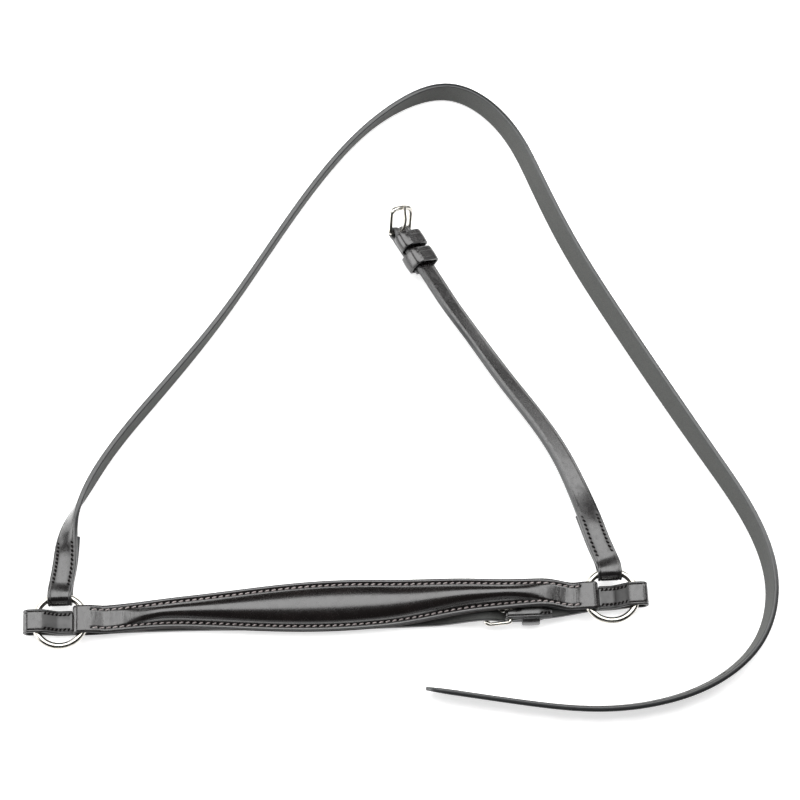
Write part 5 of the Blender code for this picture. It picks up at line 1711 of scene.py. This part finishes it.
def tongue_path():
    """Return the tongue's points and wire sizes, from its eye to its tip."""
    eye = BAR_FIT + TONGUE_RADIUS
    angles = [math.radians(turn) for turn in even_places(*TONGUE_EYE_TURN, TONGUE_EYE_STEPS)]
    places = [(eye * math.cos(angle), eye * math.sin(angle)) for angle in angles]
    places += [(FRAME_LENGTH * along, FRAME_LENGTH * height) for along, height in TONGUE_PATH_SHARES]
    rest = END_BAR_RADIUS + CLEARANCE + TONGUE_RADIUS
    bar_end = FRAME_LENGTH + FRAME_END_BOW
    places += [(FRAME_LENGTH, rest), (bar_end, rest)]
    places.append((bar_end + END_BAR_RADIUS, rest - TONGUE_RADIUS / 2))
    smooth = softened([Vector((along, 0.0, height)) for along, height in places])
    shares = [eased(TONGUE_THINNING_START, 1.0, late) for late in even_places(0.0, 1.0, len(smooth) - 1)]
    return smooth, [mixed(TONGUE_RADIUS, TONGUE_RADIUS * 2 / 3, share) for share in shares]


def bar_frame(route, swing):
    """Return the matrix of a buckle's bar: X towards the end bar, Z out of the grain."""
    return route.frame(route.length, BAR_DEPTH) @ Matrix.Rotation(-swing, 4, "Y")


def buckle_pieces(name, matrix, frame_body, tongue_body):
    """Make one buckle: its frame and its tongue."""
    wires = (("_frame", frame_body, frame_path(), True), ("_tongue", tongue_body, tongue_path(), False))
    for part, body, path, cyclic in wires:
        mesh = swept_wire(*path, cyclic, matrix)
        add_piece(name + part + "_steel", mesh, body, polished_steel, (name + part,))


def white_ground(name):
    """White ground: it takes shadows and reads as white to the camera and in reflections."""
    sheet = Sheet(name)
    sheet.finish({}, {"Base Color": colour_of("ground"), "Roughness": 0.9, "Specular IOR Level": 0.1})
    path = sheet.tree.nodes.new("ShaderNodeLightPath")
    seen = Value(sheet, path.outputs["Is Camera Ray"]) + Value(sheet, path.outputs["Is Glossy Ray"])
    glow = sheet.tree.nodes.new("ShaderNodeEmission")
    sheet.give(glow.inputs["Color"], (1.0, 1.0, 1.0, 1.0))
    sheet.give(glow.inputs["Strength"], seen * GROUND_GLOW)
    both = sheet.tree.nodes.new("ShaderNodeAddShader")
    sheet.tree.links.new(sheet.shader.outputs[0], both.inputs[0])
    sheet.tree.links.new(glow.outputs[0], both.inputs[1])
    sheet.tree.links.new(both.outputs[0], sheet.tree.nodes["Material Output"].inputs["Surface"])
    return sheet.material


def add_floor():
    """Lay the white ground under the noseband."""
    ground = bmesh.new()
    bmesh.ops.create_grid(ground, x_segments=2, y_segments=2, size=GROUND_SIZE)
    mesh = mesh_of(ground)
    mesh.name = "ground"
    mesh.materials.append(made_once(white_ground))
    item = add_object("ground", mesh)
    item.location.z = -GROUND_DROP


def add_lamp(name, spot, size, strength):
    """Hang one oblong soft lamp that faces the noseband."""
    lamp = bpy.data.lights.new(name, "AREA")
    lamp.shape = "RECTANGLE"
    lamp.size, lamp.size_y = size
    lamp.energy = strength * math.pi * size[0] * size[1]
    item = add_object(name, lamp)
    item.location = spot
    item.rotation_euler = (LAMP_AIM - Vector(spot)).to_track_quat("-Z", "Y").to_euler()


def set_world():
    """Light the scene evenly from all round, white to the camera."""
    world = bpy.data.worlds.new("studio")
    bpy.context.scene.world = world
    world.use_nodes = True
    nodes = world.node_tree.nodes
    background = nodes["Background"]
    path = nodes.new("ShaderNodeLightPath")
    level = nodes.new("ShaderNodeMapRange")
    level.inputs["To Min"].default_value = WORLD_LEVEL
    level.inputs["To Max"].default_value = 1.0
    background.inputs["Color"].default_value = (1.0, 1.0, 1.0, 1.0)
    world.node_tree.links.new(path.outputs["Is Camera Ray"], level.inputs["Value"])
    world.node_tree.links.new(level.outputs[0], background.inputs["Strength"])


def add_camera():
    """Set the camera at the photograph's place."""
    camera = bpy.data.cameras.new("camera")
    camera.sensor_width = CAMERA_SENSOR
    camera.lens = CAMERA_LENS
    camera.clip_end = CAMERA_CLIP_END
    item = add_object("camera", camera)
    target = Vector((CAMERA_TARGET[0] + SHIFT.x, CAMERA_TARGET[1] + SHIFT.y, 0.0))
    rise = math.radians(CAMERA_ELEVATION)
    turn = math.radians(CAMERA_TURN)
    look = Vector((math.sin(turn) * math.cos(rise), math.cos(turn) * math.cos(rise), -math.sin(rise)))
    item.location = target - look * CAMERA_DISTANCE
    item.rotation_mode = "QUATERNION"
    item.rotation_quaternion = look.to_track_quat("-Z", "Y")
    bpy.context.scene.camera = item


def set_stage():
    """Set the ground, the lamps, the world and the camera."""
    add_floor()
    for lamp in LAMPS:
        add_lamp(*lamp)
    set_world()
    add_camera()
    bpy.context.scene.view_settings.view_transform = "Standard"


def length_setting(name, description, default, least):
    """Return a length for the panel."""
    words = {"name": name, "description": description}
    return FloatProperty(**words, default=default, min=least, unit="LENGTH")


def colour_setting(name, description, default):
    """Return a colour for the panel."""
    words = {"name": name, "description": description}
    return FloatVectorProperty(**words, subtype="COLOR", default=default, min=0.0, max=1.0)


class NosebandSizes(bpy.types.PropertyGroup):
    """Sizes of the finish that a user may change."""

    thread_width: length_setting("Thread width", "Width of the waxed thread", 0.0008, 0.0003)
    nose_stitch_pitch: length_setting(
        "Nosepiece stitch", "Length of one stitch along the nosepiece", 0.0036, 0.0015,
    )
    wrinkle_depth: length_setting(
        "Wrinkle depth", "Depth of the small folds where the padding ends", 0.00006, 0.0,
    )


class NosebandColours(bpy.types.PropertyGroup):
    """Colours of the finish that a user may change."""

    strap_leather: colour_setting("Strap leather", "Grain side of the straps", (0.0045, 0.0036, 0.0036))
    face_leather: colour_setting("Face leather", "Grain side of the nosepiece", (0.0030, 0.0014, 0.0012))
    flesh_dark: colour_setting(
        "Flesh side, dark", "Darker parts of the flesh side", (0.062, 0.064, 0.061),
    )
    flesh_pale: colour_setting(
        "Flesh side, pale", "Paler parts of the flesh side", (0.100, 0.103, 0.098),
    )
    edge_dye: colour_setting("Edge dye", "Dyed and burnished cut edges", (0.0065, 0.0080, 0.0090))
    lining_leather: colour_setting("Lining", "Lining under the nosepiece", (0.030, 0.024, 0.022))
    thread: colour_setting("Thread", "Waxed thread", (0.030, 0.025, 0.025))
    # Nosepiece thread: partly the thread's own colour, partly a painted highlight for the glints of the
    # waxed thread
    nose_thread: colour_setting("Nosepiece thread", "Thread along the nosepiece", (0.25, 0.215, 0.21))
    steel: colour_setting("Steel", "Rings and buckles", (0.66, 0.64, 0.58))
    ground: colour_setting("Ground", "Ground under the noseband", (0.90, 0.90, 0.90))


class NOSEBAND_OT_nosepiece(bpy.types.Operator):
    """Build the nosepiece with its padding, lining and stitching"""

    bl_idname = "noseband.nosepiece"
    bl_label = "Nosepiece"

    def execute(self, context):
        nose_pieces()
        return {"FINISHED"}


class NOSEBAND_OT_rings(bpy.types.Operator):
    """Build the two steel rings"""

    bl_idname = "noseband.rings"
    bl_label = "Rings"

    def execute(self, context):
        ring_pieces()
        return {"FINISHED"}


class NOSEBAND_OT_head_strap(bpy.types.Operator):
    """Build the long head strap"""

    bl_idname = "noseband.head_strap"
    bl_label = "Head strap"

    def execute(self, context):
        head_pieces()
        return {"FINISHED"}


class NOSEBAND_OT_cheek_strap(bpy.types.Operator):
    """Build the cheek strap"""

    bl_idname = "noseband.cheek_strap"
    bl_label = "Cheek strap"

    def execute(self, context):
        cheek_pieces()
        return {"FINISHED"}


class NOSEBAND_OT_chin_strap(bpy.types.Operator):
    """Build both halves of the chin strap"""

    bl_idname = "noseband.chin_strap"
    bl_label = "Chin strap"

    def execute(self, context):
        chin_strap_pieces()
        chin_buckle_pieces()
        return {"FINISHED"}


class NOSEBAND_OT_keepers(bpy.types.Operator):
    """Build the three keepers"""

    bl_idname = "noseband.keepers"
    bl_label = "Keepers"

    def execute(self, context):
        keeper_pieces()
        return {"FINISHED"}


class NOSEBAND_OT_buckles(bpy.types.Operator):
    """Build the two buckles"""

    bl_idname = "noseband.buckles"
    bl_label = "Buckles"

    def execute(self, context):
        cheek_bar = bar_frame(cheek_route(), CHEEK_FRAME_SWING)
        buckle_pieces("cheek_buckle", cheek_bar, "cheek_buckle", "cheek_tongue")
        chin_bar = bar_frame(chin_buckle_route(), CHIN_FRAME_SWING)
        buckle_pieces("chin_buckle", chin_bar, "nosepiece", "nosepiece")
        return {"FINISHED"}


class NOSEBAND_OT_stage(bpy.types.Operator):
    """Set the ground, lamps and camera"""

    bl_idname = "noseband.stage"
    bl_label = "Stage"

    def execute(self, context):
        set_stage()
        return {"FINISHED"}


class NOSEBAND_PT_panel(bpy.types.Panel):
    """The noseband's panel in the sidebar"""

    bl_idname = "NOSEBAND_PT_panel"
    bl_label = "Drop noseband"
    bl_space_type = "VIEW_3D"
    bl_region_type = "UI"
    bl_category = "Noseband"

    def draw(self, context):
        for group in (context.scene.noseband_sizes, context.scene.noseband_colours):
            box = self.layout.box()
            for name in group.bl_rna.properties.keys():
                if name not in ("rna_type", "name"):
                    box.prop(group, name)
        for operator in STEPS:
            self.layout.operator(operator.bl_idname)


STEPS = (
    NOSEBAND_OT_nosepiece,
    NOSEBAND_OT_rings,
    NOSEBAND_OT_head_strap,
    NOSEBAND_OT_cheek_strap,
    NOSEBAND_OT_chin_strap,
    NOSEBAND_OT_keepers,
    NOSEBAND_OT_buckles,
    NOSEBAND_OT_stage,
)
CLASSES = (NosebandSizes, NosebandColours, *STEPS, NOSEBAND_PT_panel)


def register():
    for item in CLASSES:
        bpy.utils.register_class(item)
    bpy.types.Scene.noseband_sizes = PointerProperty(type=NosebandSizes)
    bpy.types.Scene.noseband_colours = PointerProperty(type=NosebandColours)


def unregister():
    del bpy.types.Scene.noseband_colours
    del bpy.types.Scene.noseband_sizes
    for item in reversed(CLASSES):
        bpy.utils.unregister_class(item)


def main():
    """Build every piece."""
    register()
    bpy.ops.noseband.nosepiece()
    bpy.ops.noseband.rings()
    bpy.ops.noseband.head_strap()
    bpy.ops.noseband.cheek_strap()
    bpy.ops.noseband.chin_strap()
    bpy.ops.noseband.keepers()
    bpy.ops.noseband.buckles()
    bpy.ops.noseband.stage()
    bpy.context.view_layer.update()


if __name__ == "__main__":
    main()
